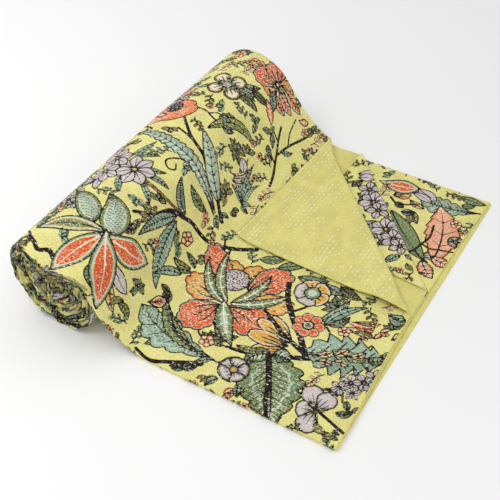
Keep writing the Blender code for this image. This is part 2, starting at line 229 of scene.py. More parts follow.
def turn(sweep, y, depth=0.0):
    """Places on the roll: sweep is the angle past where the loose end leaves, depth how far inside."""
    sweep, y, depth = np.broadcast_arrays(sweep, y, depth)
    angle = math.pi / 2 - path(y)[1] + sweep
    turns = sweep / (2 * math.pi)
    flat = np.mod(angle, 2 * math.pi)
    slack = lump(SLACK_LUMP, flat) * np.sin(SLACK_WAVES[0] * flat + SLACK_WAVES[1] * y)
    lumps = lump(LEFT_LUMP, flat) + lump(LOW_LUMP, flat) + slack
    inside = np.floor(turns) + depth / STACK
    radius = ROLL_RADIUS - STACK * turns - depth + lumps * np.clip(1 - inside / LUMPS_END, 0, 1)
    pressed = bump((flat - SAG_ANGLE) / SAG_WIDTH) * np.exp(-((np.maximum(y, 0.0) / SAG_REACH) ** 2))
    radius = radius * (1 - NEAR_SAG * pressed)
    x = -ROLL_AXIS_FROM_HEM + radius * np.cos(angle)
    z = ROLL_AXIS_HEIGHT + radius * np.sin(angle)
    floor = FLOOR_SHARE * (STACK * np.maximum(turns - FLOOR_TURN, 0.0) + depth)
    return np.stack([x, y, np.maximum(z, floor)], -1) + ORIGIN


def roll_end(far, sweep, depth=0.0):
    """How far across an end of the roll lies. depth is the share of the way in to its middle."""
    angle = math.pi / 2 - path(ACROSS if far else 0.0)[1] + sweep
    step = np.mod(sweep, 2 * math.pi) / SWEEP
    shelf = SHELF * np.sin(2 * angle + 1) * step * np.clip(1 - step, 0, 1) * 4
    if far:
        return ACROSS - shelf - FAR_DISH * depth
    high = bump((np.mod(angle, 2 * math.pi) - HIGH_ANGLE) / HIGH_REACH)
    return -NEAR_OVERHANG * high * (1 - depth) + shelf + NEAR_DISH * depth


def skin(s, w):
    """The outer face: s is the way along it from the end hem, w the share of the way across."""
    s, w = np.broadcast_arrays(s, w)
    share = np.clip((s - ROOT_FROM_HEM) / (path(0.0)[2] - ROOT_FROM_HEM), 0.0, 1.0)
    sweep = np.clip((s - path(w * ACROSS)[2]) / ROLL_RADIUS, 0.0, SWEEP)
    low = np.where(sweep > 0, roll_end(False, sweep), roll_end(False, 0.0) * share) + EDGE
    high = np.where(sweep > 0, roll_end(True, sweep), blend(ACROSS, roll_end(True, 0.0), share)) - CLOTH / 2
    y = blend(low, high, w)
    leave = path(y)[2]
    sweep = np.clip((s - leave) / ROLL_RADIUS, 0.0, SWEEP)
    loose = lie(np.minimum(s, leave), y, STACK + top_puff(s, y))
    return np.where((s < leave)[..., None], loose, turn(sweep, y))


def top_puff(u, y):
    return TOP_PUFF[0] * near(u, y, TOP_FOLD[1][0] + TOP_PUFF_SHIFT, ACROSS, TOP_PUFF[1])


def top_height(u, y):
    over = smooth((y - LIFT_START_Y) / LIFT_RUN_Y) * smooth((LIFT_END_U - u) / LIFT_RUN_U)
    return LEVELS[0] + TOP_LIFT * over + top_puff(u, y)


def second_height(u, y):
    return LEVELS[1] + SECOND_PUFF[0] * near(u, y, SECOND_FOLD[1][0], ACROSS, SECOND_PUFF[1])


def turned(fold, u, y):
    """Where a flat place of a layer lies once its corner is turned back.

    Gives its u and y, its rise, its way past the fold's round and its distance past the fold line.
    """
    start, end, radii, rest = fold
    run = np.array(end) - np.array(start)
    length = np.hypot(*run)
    along = run / length
    t = (u - start[0]) * along[0] + (y - start[1]) * along[1]
    d = (y - start[1]) * along[0] - (u - start[0]) * along[1]
    radius = blend(radii[0], radii[1], np.clip(t / length, 0.0, 1.0))
    angle = np.clip((d + radius) / radius, 0.0, math.pi)
    past = np.maximum(d - (math.pi - 1) * radius, 0.0)
    spot = np.where(d < -radius, d, radius * np.sin(angle) - radius - past)
    settled = blend(2 * radius, np.minimum(2 * radius, rest), smooth(past / SETTLE))
    rise = np.where(past > 0, settled, radius * (1 - np.cos(angle)))
    return start[0] + t * along[0] - spot * along[1], start[1] + t * along[1] + spot * along[0], rise, past, d


def under_flap(fold, u, y, d):
    """Whether a place of a layer lies well under its own turned corner. d is its distance past the fold."""
    run = unit(np.array(fold[1]) - np.array(fold[0]))
    mirror_u, mirror_y = u + 2 * d * run[1], y - 2 * d * run[0]
    return (d < -FOLD_MARGIN) & (mirror_u > FLAP_RIM) & (mirror_y < ACROSS - FLAP_RIM)


# ----------------------------------------------------------------------------------- meshes


def side_points(start, end, stride):
    """Offsets along one side of a block, from start up to but not including end."""
    count = max(abs(end[0] - start[0]), abs(end[1] - start[1])) // stride
    return [tuple(start[k] + (end[k] - start[k]) * n // count for k in (0, 1)) for n in range(count)]


def block_faces(stride, around):
    """Offsets of the faces of a block of 4 by 4 cells. around has the strides of the blocks beside it."""
    faces = []
    for i in range(0, 4, stride):
        for j in range(0, 4, stride):
            ends = ((i, j), (i + stride, j), (i + stride, j + stride), (i, j + stride))
            at_rim = (j == 0, i + stride == 4, j + stride == 4, i == 0)
            face = []
            for k in range(4):
                step = min(stride, around[k]) if at_rim[k] else stride
                face += side_points(ends[k], ends[(k + 1) % 4], step)
            faces.append(face)
    return faces


def cells(level, flip=False):
    """Faces over a grid. level gives the stride, 1, 2 or 4, of each block of 4 by 4 cells, or 0 for none."""
    m = level.shape[1] * 4
    ringed = np.pad(level, 1, constant_values=1)
    ringed = np.where(ringed == 0, 4, ringed)
    around = [ringed[1:-1, :-2], ringed[2:, 1:-1], ringed[1:-1, 2:], ringed[:-2, 1:-1]]
    key = np.stack([level, *around], -1)
    out = []
    for strides in np.unique(key.reshape(-1, 5), axis=0):
        if strides[0] == 0:
            continue
        i, j = np.nonzero((key == strides).all(-1))
        for face in block_faces(int(strides[0]), [int(v) for v in strides[1:]]):
            face = np.array(face[::-1] if flip else face)
            out.append((4 * i[:, None] + face[None, :, 0]) * (m + 1) + 4 * j[:, None] + face[None, :, 1])
    return out


class Cloth:
    """Grids of points that become one mesh, each point with its paint and its place on the cloth."""

    def __init__(self):
        self.points, self.faces, self.tints, self.lines, self.places, self.sides = [], [], [], [], [], []
        self.count = 0

    def add(self, points, faces, paint, place, side=PRINTED):
        shape = points.shape[:-1]
        tint, ink, pale = paint
        self.points.append(points.reshape(-1, 3))
        self.tints.append(np.broadcast_to(tint, (*shape, 3)).reshape(-1, 3))
        lines = np.stack([np.broadcast_to(ink, shape), np.broadcast_to(pale, shape)], -1)
        self.lines.append(lines.reshape(-1, 2))
        self.places.append(np.broadcast_to(place, (*shape, 2)).reshape(-1, 2))
        for group in faces if isinstance(faces, list) else [faces]:
            self.faces.append(group + self.count)
            self.sides.append(np.full(len(group), side))
        self.count += self.points[-1].shape[0]

    def build(self, name, materials):
        points = np.concatenate(self.points)
        _, first, same = np.unique(np.round(points / WELD), axis=0, return_index=True, return_inverse=True)
        loops = first[same.reshape(-1)][np.concatenate([f.ravel() for f in self.faces])]
        used, loops = np.unique(loops, return_inverse=True)
        sizes = np.concatenate([np.full(len(f), f.shape[1]) for f in self.faces])
        mesh = bpy.data.meshes.new(name)
        mesh.vertices.add(len(used))
        mesh.vertices.foreach_set("co", points[used].astype(np.float32).ravel())
        mesh.loops.add(len(loops))
        mesh.loops.foreach_set("vertex_index", loops.reshape(-1).astype(np.int32))
        mesh.polygons.add(len(sizes))
        mesh.polygons.foreach_set("loop_start", (np.cumsum(sizes) - sizes).astype(np.int32))
        mesh.polygons.foreach_set("material_index", np.concatenate(self.sides).astype(np.int32))
        mesh.polygons.foreach_set("use_smooth", np.ones(len(sizes), dtype=bool))
        mesh.update(calc_edges=True)
        tints, lines, places = (np.concatenate(rows)[used] for rows in (self.tints, self.lines, self.places))
        ones = np.ones((len(used), 1))
        for label, kind, field, values in (
            ("tint", "FLOAT_COLOR", "color", np.concatenate([tints, ones], 1)),
            ("ink", "FLOAT", "value", lines[:, 0] / MM),
            ("pale", "FLOAT", "value", lines[:, 1] / MM),
            ("place", "FLOAT_VECTOR", "vector", np.concatenate([places, 0 * ones], 1)),
        ):
            layer = mesh.attributes.new(label, kind, "POINT")
            layer.data.foreach_set(field, values.astype(np.float32).ravel())
        mesh.validate()
        for material in materials:
            mesh.materials.append(material)
        piece = bpy.data.objects.new(name, mesh)
        bpy.context.scene.collection.objects.link(piece)
        return piece


def normals(points, flip=1.0):
    a, b = np.gradient(points, axis=0), np.gradient(points, axis=1)
    return flip * unit(np.cross(a, b))


def hem_rim(front, back, outward, steps=6):
    """A half round from the front's edge to the back's."""
    middle, half = (front + back) / 2, (front - back) / 2
    radius = np.linalg.norm(half, axis=-1, keepdims=True)
    turns = np.linspace(0, math.pi, steps + 1)[None, :, None]
    return middle[:, None] + half[:, None] * np.cos(turns) + (outward * radius)[:, None] * np.sin(turns)


def strip_quads(n, m, flip=False):
    i, j = np.meshgrid(np.arange(n - 1), np.arange(m - 1), indexing="ij")
    i, j = i.ravel(), j.ravel()
    corners = [i * m + j, (i + 1) * m + j, (i + 1) * m + j + 1, i * m + j + 1]
    return np.stack(corners[::-1] if flip else corners, 1)


# ------------------------------------------------------------------------------ the relief

ROW = 0.0070  # between two rows of stitches
ROW_PUFF = 0.00016  # how high the cloth stands between them
# lumps in the cloth: height, length along it and across it, and a seed
FLAT_SWELL = 0.6  # share of the slow lumps where the cloth is held flat
SWELL = ((0.0005, 0.045, 0.06, 3), (0.0003, 0.018, 0.025, 4))
CRINKLES = ((0.00014, 0.006, 0.005, 5), (0.00008, 0.0028, 0.0028, 6))


def lumpy(u, y, rows):
    return sum(height * noise(u / along, y / across, seed) for height, along, across, seed in rows)


def swell(u, y):
    """The slow unevenness of all the layers together."""
    return lumpy(u, y, SWELL)


def quilting(u, y):
    """The cloth puffs between its rows of stitches, unevenly."""
    return ROW_PUFF * np.abs(np.sin(math.pi * y / ROW)) + lumpy(u, y, CRINKLES)


# ------------------------------------------------------------------------------- the print


TONES = {
    "coral": tone("E04A1C"),
    "rose": tone("EC7A50"),
    "ochre": tone("E2A63E"),
    "cream": tone("F4EBCF"),
    "sage": tone("64825A"),
    "olive": tone("7F8A3C"),
    "deep": tone("2C4A2E"),
    "aqua": tone("8FB4A2"),
    "mist": tone("C0D6C4"),
    "lilac": tone("D0C5CC"),
    "brown": tone("6B3A22"),
    "ink": tone("1A100D"),
    "grey": tone("A39C9A"),
    "blush": tone("F0A285"),
}
STEP = 0.0006  # between two painted places
FAR = 0.003  # a place this deep outside a line counts as far from it
LINE = 0.0011  # the usual outline
LEAF_LINES = ((12, 0.0014), (8, 0.0008), (0, 0.0003))  # a leaf's outline from each width in mm up
PETAL_LINE = 0.0014
HAIR_LINE = 0.0004  # half of the outline of a coloured stroke
SHADE_RIM = 0.003  # a shaded form's rim fades over this
MIDDLING = 9  # leaves wider than this, in mm, get ribs, ticks and a shaded side
GRAINS = 64  # in a speckled heart
PACE = 9  # mm from one try at bare ground to the next
SPRIGS = ("aqua", "brown", "green", "olive", "dark", "aqua", "coral")  # kinds of leaf on sprigs there

# kind: colours from the rim inwards with the depth in mm at which each starts, colour of its veins, ribs on
# a side, notches on a side (rounded lobes where the form says so), how deep they cut, where along it the leaf
# is widest, its form, and the colour of the short ticks that fill it
LEAVES = {
    "aqua": ((("sage", 0), ("aqua", 1.2)), "ink", 5, 0, 0.0, 0.42, "plain", ""),
    "green": ((("deep", 0), ("sage", 1.4), ("mist", 4.5)), "ink", 5, 0, 0.0, 0.42, "plain", "ink"),
    "olive": ((("deep", 0), ("olive", 1.4)), "ink", 4, 0, 0.0, 0.45, "plain", "pale"),
    "dark": ((("ink", 0), ("deep", 0.8), ("sage", 2.0)), "ink", 0, 0, 0.0, 0.45, "plain", ""),
    "brown": ((("brown", 0), ("olive", 1.6)), "ink", 0, 0, 0.0, 0.5, "plain", ""),
    "fern": ((("ink", 0), ("aqua", 0.9)), "ink", 12, 12, 0.18, 0.42, "teeth", ""),
    "plume": ((("sage", 0), ("aqua", 1.0), ("mist", 3.0)), "ink", 16, 16, 0.30, 0.5, "teeth", ""),
    "net": ((("sage", 0), ("mist", 1.6)), "ink", 8, 0, 0.0, 0.45, "plain", "ink"),
    "comb": ((("deep", 0), ("olive", 1.0), ("sage", 3.6)), "ink", 9, 12, 0.22, 0.5, "teeth", ""),
    "ink": ((("ink", 0),), "ink", 0, 0, 0.0, 0.5, "plain", ""),
    "lobed": (
        (("deep", 0), ("aqua", 1.0), ("mist", 6.0), ("aqua", 9.0)), "ink", 6, 6, 0.42, 0.66, "lobes", "ink"
    ),
    "acanthus": ((("deep", 0), ("aqua", 1.2), ("sage", 14.0)), "brown", 6, 6, 0.46, 0.42, "teeth", ""),
    "broad": (
        (("ink", 0), ("deep", 0.8), ("sage", 3.0), ("mist", 12.0), ("sage", 15.0)),
        "ink", 8, 6, 0.30, 0.36, "lobes", "pale",
    ),
    "bud": (
        (("deep", 0), ("sage", 1.2), ("cream", 5.0), ("mist", 6.6)), "", 0, 9, 0.07, 0.42, "lobes", "ink"
    ),
    "ribbon": (
        (("deep", 0), ("aqua", 1.0), ("cream", 2.8), ("ochre", 3.8), ("sage", 5.6)),
        "ink", 0, 0, 0.0, 0.5, "plain", "",
    ),
    "lily": (
        (("ink", 0), ("sage", 1.2), ("mist", 3.6), ("cream", 5.0), ("coral", 6.2)),
        "pale", 0, 0, 0.0, 0.58, "plain", "pale",
    ),
    "coral": ((("brown", 0), ("coral", 1.0), ("rose", 3.0)), "pale", 4, 5, 0.22, 0.5, "teeth", ""),
    "blush": ((("brown", 0), ("rose", 0.9), ("blush", 2.8)), "ink", 4, 6, 0.20, 0.5, "teeth", "pale"),
    "rose": ((("brown", 0), ("rose", 0.9), ("coral", 3.2)), "pale", 2, 0, 0.0, 0.6, "plain", ""),
    "ochre": ((("brown", 0), ("cream", 1.2), ("ochre", 2.4)), "brown", 2, 0, 0.0, 0.55, "plain", ""),
    "lilac": ((("ink", 0), ("lilac", 0.8)), "ink", 0, 0, 0.0, 0.55, "plain", ""),
    "blade": ((("ink", 0), ("aqua", 1.1)), "ink", 6, 0, 0.0, 0.4, "plain", ""),
    "sepal": (
        (("ink", 0), ("deep", 0.8), ("sage", 2.4), ("mist", 7.5)), "pale", 4, 0, 0.0, 0.42, "plain", ""
    ),
    "stripe": ((("ink", 0), ("cream", 1.0), ("rose", 2.6)), "ink", 6, 7, 0.16, 0.6, "lobes", ""),
    "hatch": ((("ink", 0), ("aqua", 1.6)), "ink", 7, 0, 0.0, 0.6, "plain", ""),
}

WARM = ("lily", "coral", "rose", "blush", "ochre", "lilac", "stripe", "ribbon")  # leaves with no green shade

# kind: colours from the rim inwards, lobes along its end, colour of its veins and of its ticks
PETALS = {
    "peony": ((("ink", 0), ("grey", 1.3), ("coral", 2.9)), 9, "rose", "pale"),
    "honey": ((("coral", 0), ("rose", 1.4), ("ochre", 3.2)), 9, "brown", "pale"),
    "pale": ((("ink", 0), ("grey", 1.0), ("lilac", 2.6)), 3, "ink", ""),
    "bell": ((("coral", 0), ("rose", 3.0)), 3, "pale", "pale"),
    "violet": ((("ink", 0), ("grey", 2.6), ("lilac", 4.2)), 2, "ink", ""),
    "bud": ((("brown", 0), ("cream", 1.2), ("ochre", 3.0)), 2, "brown", ""),
    "loop": ((("ink", 0), ("ochre", 3.6), ("cream", 4.8)), 1, "brown", ""),
}
ROUND_PETAL = (("cream", 0), ("rose", 1.2), ("coral", 3.6))

# kind of flower: the kinds of its petals in turn, their reach, the share of it at which they start and their
# width, then its heart's radius, colours and outline. Reach, width and heart are shares of the radius.
FLOWER_KINDS = {
    "star": (("lilac",), 1.15, 0.05, 0.72, 0.14, (("ink", 0), ("ochre", 0.8)), LINE),
    "rosebud": (("rose",), 1.0, 0.0, 0.95, 0.28, (("brown", 0), ("ochre", 0.8)), LINE),
    "daisy": (("round",), 0.66, 0.0, 0.68, 0.34, (("ink", 0), ("cream", 1.4), ("deep", 3.0)), 0.0022),
    "anemone": (("violet",), 1.0, 0.0, 1.25, 0.26, (("cream", 0), ("ink", 1.2), ("ochre", 2.6)), 0.0016),
    "pansy": (
        ("bud", "bud", "bud", "pale", "pale"), 1.0, 0.0, 1.15, 0.44,
        (("deep", 0), ("sage", 1.8), ("mist", 5.2)), 0.0018,
    ),
    "paisley": (("loop",), 1.0, 0.0, 0.80, 0.22, (("ink", 0), ("grey", 1.2)), LINE),
}

# Leaves and long petals on the top layer and the roll, in mm on the cloth: from, to, width and sideways bow.
# The large motifs stand near where the photo has one of that kind. Their forms are drawn anew.
TOP_LEAVES = (
    # the trumpet's stem, with its plume, netted leaf and curved leaf
    ("plume", 375, 275, 590, 300, 28, 6), ("net", 380, 290, 490, 355, 28, -6),
    ("aqua", 370, 275, 350, 260, 12, 3), ("aqua", 365, 280, 350, 290, 10, -3),
    ("olive", 485, 360, 405, 420, 20, -22), ("rose", 600, 405, 555, 435, 16, 3),
    ("lilac", 600, 430, 575, 455, 14, -3), ("coral", 590, 360, 560, 350, 14, 3),
    ("green", 470, 385, 450, 395, 14, 2), ("dark", 485, 400, 465, 405, 10, 2),
    # ferns on the long branch
    ("fern", 410, 220, 460, 255, 18, -9), ("fern", 420, 205, 445, 125, 22, 6),
    ("fern", 415, 200, 360, 100, 30, 10), ("comb", 385, 260, 440, 260, 18, -5),
    ("dark", 400, 195, 375, 170, 10, 4), ("aqua", 385, 180, 370, 160, 12, -3),
    # round the star flowers
    ("aqua", 545, 240, 530, 285, 12, 3), ("aqua", 535, 240, 505, 260, 10, -3),
    ("aqua", 515, 225, 480, 240, 10, 3), ("aqua", 500, 215, 460, 220, 10, -3),
    ("aqua", 530, 195, 510, 165, 12, 3), ("aqua", 500, 200, 465, 175, 10, -3),
    ("aqua", 570, 190, 600, 180, 12, 3), ("lilac", 560, 180, 545, 150, 14, 2),
    ("lilac", 570, 185, 580, 150, 12, -2),
    # the lily: leaves behind it, its two buds and its petals
    ("dark", 475, 95, 445, 90, 14, -5), ("green", 465, 40, 440, 10, 16, 3),
    ("lilac", 445, 65, 390, 55, 22, 3), ("ochre", 435, 50, 385, 20, 16, 4),
    ("bud", 505, 100, 575, 135, 36, 5), ("bud", 475, 90, 520, 155, 42, 9),
    ("ribbon", 480, 95, 575, 45, 24, 14), ("lily", 475, 100, 500, 5, 44, 8),
    ("lily", 490, 90, 400, 115, 44, 10), ("lily", 485, 100, 410, 0, 44, 2), ("aqua", 600, 60, 570, 70, 10, 3),
    ("ochre", 605, 45, 585, 70, 9, 2),
    # the leaves below the peony
    ("lobed", 205, 45, 360, 65, 62, -6), ("comb", 240, 45, 340, 105, 24, -12),
    ("stripe", 355, 75, 335, 100, 20, 2), ("olive", 390, 35, 360, 30, 13, -6),
    ("brown", 385, 45, 400, 20, 11, 5), ("aqua", 230, 65, 250, 75, 11, 2), ("aqua", 215, 45, 235, 25, 10, 2),
    ("green", 225, 85, 250, 105, 14, 3), ("olive", 220, 80, 205, 100, 12, -2),
    ("green", 335, 165, 360, 145, 12, 3), ("olive", 340, 170, 375, 160, 13, -4),
    ("green", 335, 175, 365, 185, 12, 3), ("aqua", 345, 150, 380, 115, 15, 6),
    # round the trunks
    ("acanthus", 110, 120, 0, 165, 88, -4), ("broad", 150, 90, 90, -15, 96, -3),
    ("green", 150, 95, 175, 65, 26, 5), ("green", 145, 95, 120, 95, 26, -4),
    ("olive", 200, 85, 160, 95, 12, 4), ("aqua", 190, 20, 200, 0, 11, 2), ("aqua", 160, 25, 150, 5, 11, 2),
    ("aqua", 120, 185, 100, 245, 15, 5), ("aqua", 110, 180, 70, 245, 15, -8),
    ("green", 105, 185, 85, 215, 13, 4), ("coral", 85, 205, 45, 215, 11, 3),
    ("brown", 75, 210, 40, 225, 9, 2), ("coral", 80, 195, 45, 190, 10, -3),
    ("brown", 70, 190, 35, 195, 9, -2), ("hatch", 40, 250, 10, 245, 24, 3), ("ochre", 15, 205, 5, 225, 15, 2),
    ("green", 25, 150, 0, 165, 15, -3), ("aqua", 15, 170, -5, 190, 12, 2), ("aqua", 35, 75, 55, 80, 10, 2),
    ("aqua", 20, 75, 10, 60, 10, 2), ("green", 25, 50, 5, 60, 12, 3), ("brown", 40, 25, 20, 15, 12, 6),
    ("brown", 25, 10, 10, 20, 11, 4),
    # dark leaves where the flap lies
    ("dark", 190, 250, 145, 265, 20, 4), ("dark", 225, 250, 190, 275, 18, -3),
    ("hatch", 150, 260, 115, 250, 18, 3), ("comb", 125, 265, 85, 255, 18, 4),
    ("dark", 260, 255, 225, 275, 18, 3),
    # round the paisley flower, under the high peony and by the small tree
    ("net", 500, 475, 470, 505, 14, 3), ("net", 500, 470, 460, 490, 14, 2),
    ("net", 500, 465, 460, 475, 12, -2), ("comb", 490, 455, 445, 465, 15, -4),
    ("comb", 480, 490, 440, 495, 16, 3), ("stripe", 450, 530, 405, 520, 18, 4),
    ("stripe", 450, 540, 395, 535, 18, 2), ("stripe", 450, 550, 385, 555, 20, -2),
    ("hatch", 460, 520, 425, 500, 16, -4), ("coral", 410, 480, 450, 500, 17, 3),
    ("green", 390, 450, 365, 440, 13, 3), ("aqua", 360, 470, 345, 490, 10, 2),
    ("rose", 380, 545, 365, 560, 13, 2),
    # the iris: blades from its root, its flower and the thistle over it
    ("blade", 345, 330, 390, 335, 11, 4), ("blade", 345, 330, 400, 350, 10, 3),
    ("blade", 345, 330, 405, 375, 10, -2), ("blade", 345, 330, 400, 395, 11, -4),
    ("blade", 345, 330, 385, 400, 11, -6), ("blade", 345, 330, 365, 395, 10, -7),
    ("blade", 345, 330, 350, 385, 9, -7), ("aqua", 350, 330, 330, 325, 10, 2),
    ("aqua", 350, 330, 335, 340, 9, -2), ("lilac", 385, 365, 410, 380, 18, 4),
    ("lilac", 385, 365, 395, 345, 14, -3), ("ochre", 395, 340, 375, 360, 8, 4),
    ("ochre", 405, 345, 385, 385, 8, 8), ("aqua", 560, 440, 535, 455, 10, 2),
)

# Petals with a lobed end, in mm: from, to and width.
TOP_PETALS = (
    ("bell", 605, 315, 525, 395, 52), ("honey", 265, 175, 295, 230, 40), ("honey", 255, 180, 245, 240, 44),
    ("peony", 245, 180, 200, 250, 54), ("honey", 240, 160, 165, 190, 42), ("peony", 265, 165, 340, 235, 46),
    ("honey", 260, 150, 335, 160, 50), ("peony", 260, 145, 295, 80, 62), ("peony", 255, 145, 180, 130, 64),
    ("pale", 50, 40, 75, 30, 28), ("pale", 50, 40, 50, 0, 30), ("pale", 50, 40, 75, 75, 30),
    ("pale", 50, 40, 40, 75, 28), ("honey", 445, 540, 470, 515, 36), ("peony", 450, 540, 500, 530, 46),
    ("peony", 450, 545, 485, 575, 46), ("honey", 450, 535, 425, 570, 36), ("bud", 130, 125, 185, 160, 20),
    ("bud", 130, 125, 200, 145, 22), ("bud", 130, 115, 180, 90, 20), ("bud", 130, 120, 200, 115, 26),
)

SEPALS = (
    ("sepal", 255, 145, 330, 210, 18, -10), ("sepal", 255, 150, 310, 245, 17, -12),
    ("sepal", 250, 150, 225, 230, 17, 9), ("sepal", 250, 150, 180, 210, 18, 10),
    ("sepal", 260, 150, 205, 80, 26, 5),
)

# Speckled hearts: place and radius.
TOP_HEARTS = ((270, 195, 23), (560, 375, 14))

# Round flowers: kind, place, radius, petals, turn in degrees.
FLOWERS = (
    ("star", 520, 215, 28, 7, 10), ("star", 565, 225, 24, 7, 40), ("star", 560, 190, 22, 6, 0),
    ("star", 590, 245, 16, 6, 20), ("anemone", 180, 45, 23, 5, 20), ("daisy", 130, 170, 24, 7, 10),
    ("pansy", 155, 230, 28, 5, 60), ("paisley", 515, 465, 36, 4, 35), ("rosebud", 380, 200, 13, 5, 0),
    ("rosebud", 240, 70, 12, 5, 30), ("rosebud", 80, 185, 10, 5, 0), ("rosebud", 355, 540, 9, 5, 0),
    ("star", 30, 105, 15, 5, 0), ("star", 15, 115, 14, 5, 40), ("star", 5, 130, 14, 5, 10),
    ("star", 0, 110, 12, 5, 60), ("star", 40, 90, 12, 5, 20), ("star", 20, 90, 11, 5, 0),
    ("rosebud", 545, 555, 12, 5, 20),
)

# Branches and stems: colour, width at the start and at the end in mm, then the places they pass.
TOP_STEMS = (
    (
        "ink", 5, 8, (475, 150), (450, 170), (435, 200), (410, 215), (390, 225), (345, 230),
        (300, 255), (275, 270),
    ),
    (
        "ink", 2, 3, (480, 265), (475, 255), (485, 250), (495, 260), (485, 275), (460, 285),
        (425, 280), (375, 270),
    ),
    ("ink", 4, 7, (540, 370), (515, 345), (490, 325), (460, 315), (440, 305), (395, 295), (355, 275)),
    ("ink", 3, 4, (520, 330), (495, 325), (470, 318)),
    ("brown", 7, 3, (505, 205), (480, 205), (450, 205), (420, 215)),
    ("ink", 3, 2, (415, 195), (400, 190), (385, 180), (370, 165)), ("ink", 3, 3, (385, 180), (380, 195)),
    ("ink", 8, 4, (480, 95), (495, 115)),
    ("ink", 6, 7, (595, 10), (580, 25), (560, 25), (545, 20), (530, 30), (515, 25)),
    ("ink", 3, 3, (530, 385), (510, 390), (490, 385), (475, 385)),
    ("ink", 2, 2, (500, 390), (490, 400), (480, 400)),
    ("ink", 5, 4, (335, 400), (345, 425), (365, 455), (380, 475), (395, 500)),
    ("ink", 4, 5, (365, 455), (360, 490), (350, 525), (340, 565)),
    ("ink", 3, 2, (360, 490), (375, 510), (385, 540)), ("ink", 3, 2, (345, 425), (355, 440), (370, 445)),
    ("ink", 3, 2, (380, 475), (405, 480)), ("ink", 4, 3, (160, 185), (150, 200), (145, 215)),
    ("ink", 5, 9, (210, 75), (180, 80), (150, 95), (120, 105), (100, 115)),
    ("ink", 4, 9, (320, 5), (290, 0), (265, 10), (245, 20), (225, 30)),
    ("brown", 4, 3, (15, 105), (35, 90), (50, 80), (60, 75)), ("brown", 3, 2, (35, 90), (30, 80), (25, 70)),
    ("ink", 4, 4, (45, 40), (30, 35), (15, 30), (0, 25)), ("ink", 3, 3, (90, 150), (95, 170), (105, 180)),
    ("ink", 3, 2, (330, 255), (320, 240), (315, 225)), ("ink", 3, 2, (250, 20), (260, 5)),
    ("ink", 3, 2, (240, 70), (255, 75), (265, 85)),
)

# The same, over the leaves.
LATE_STEMS = (
    ("ink", 8, 9, (195, 230), (180, 200), (155, 170), (130, 145), (105, 115)),
    ("ink", 5, 8, (200, 165), (175, 150), (150, 135), (110, 120)),
    ("ink", 3, 2, (345, 110), (320, 90), (290, 65), (245, 48)),
    ("ink", 9, 4, (150, 90), (130, 55), (115, 20), (95, -12)),
)

# Scales on a trunk and curls on a leaf: kind, from, to, width and bow.
LATE_LEAVES = (
    ("ochre", 95, 125, 75, 145, 12, 3), ("ochre", 75, 135, 60, 160, 12, 3),
    ("ochre", 55, 145, 35, 165, 11, 3), ("ochre", 90, 115, 65, 120, 11, -3),
    ("ochre", 70, 125, 45, 130, 11, -3), ("olive", 45, 140, 25, 150, 9, -3), ("ochre", 50, 40, 65, 50, 6, 1),
    ("ochre", 50, 40, 60, 25, 6, 1), ("ochre", 50, 40, 40, 25, 6, 1), ("brown", 50, 40, 35, 50, 6, 1),
)

# Tufts of short leaves: kind of leaf, place, length, leaves, heading in degrees, spread in degrees.
TOP_TUFTS = (
    ("brown", 570, 90, 18, 7, 20, 200), ("coral", 570, 90, 12, 4, 100, 120),
    ("brown", 455, 165, 20, 8, 200, 320), ("brown", 570, 265, 18, 6, 60, 160),
    ("dark", 385, 80, 18, 6, 90, 330), ("ink", 340, 115, 20, 5, -60, 110),
    ("brown", 425, 380, 22, 11, 0, 300), ("dark", 425, 380, 16, 9, 20, 330),
    ("brown", 385, 315, 22, 9, 0, 240), ("brown", 405, 400, 18, 5, 60, 120),
    ("dark", 435, 450, 20, 4, 45, 330), ("dark", 400, 470, 24, 4, 20, 330),
    ("ink", 355, 305, 14, 3, 180, 100), ("dark", 475, 405, 16, 6, 40, 300),
    ("dark", 550, 560, 24, 8, 120, 200), ("brown", 560, 530, 18, 6, 60, 160),
    ("dark", 345, 555, 18, 6, 20, 200), ("olive", 235, 75, 20, 6, 100, 160),
    ("coral", 55, 200, 18, 7, 180, 160), ("dark", 20, 225, 16, 5, 60, 120),
    ("brown", 205, 15, 14, 6, 240, 160), ("dark", 10, 15, 12, 4, 100, 200), ("dark", 305, 35, 18, 6, 40, 200),
    ("brown", 395, 135, 16, 6, 100, 200), ("aqua", 240, 10, 18, 6, 60, 150),
    ("dark", 110, 225, 24, 7, 30, 150), ("brown", 330, 200, 18, 5, 10, 120),
    ("olive", 455, 130, 18, 5, 0, 140), ("brown", 320, 70, 16, 5, -80, 120),
)

# The second layer's turned corner and the third layer's corner, in the same columns.
SECOND_LEAVES = (
    ("aqua", 170, 460, 200, 475, 15, 2), ("aqua", 175, 475, 190, 455, 12, 2),
    ("aqua", 140, 425, 155, 395, 16, 3), ("aqua", 130, 430, 105, 445, 16, -3),
    ("aqua", 110, 400, 120, 375, 14, -3), ("aqua", 75, 370, 90, 345, 14, 3),
    ("aqua", 70, 375, 50, 370, 12, -2), ("lilac", 220, 520, 190, 530, 24, 3),
    ("lilac", 215, 510, 190, 515, 20, -3), ("green", 205, 505, 215, 485, 14, 2),
    ("dark", 195, 500, 180, 510, 12, 2), ("brown", 60, 360, 45, 350, 10, 2),
)
SECOND_FLOWERS = (
    ("star", 185, 490, 18, 5, 0), ("star", 165, 465, 23, 7, 20), ("star", 150, 450, 18, 5, 50),
    ("star", 120, 415, 24, 7, 10), ("star", 100, 400, 20, 6, 0), ("star", 85, 390, 17, 5, 20),
)
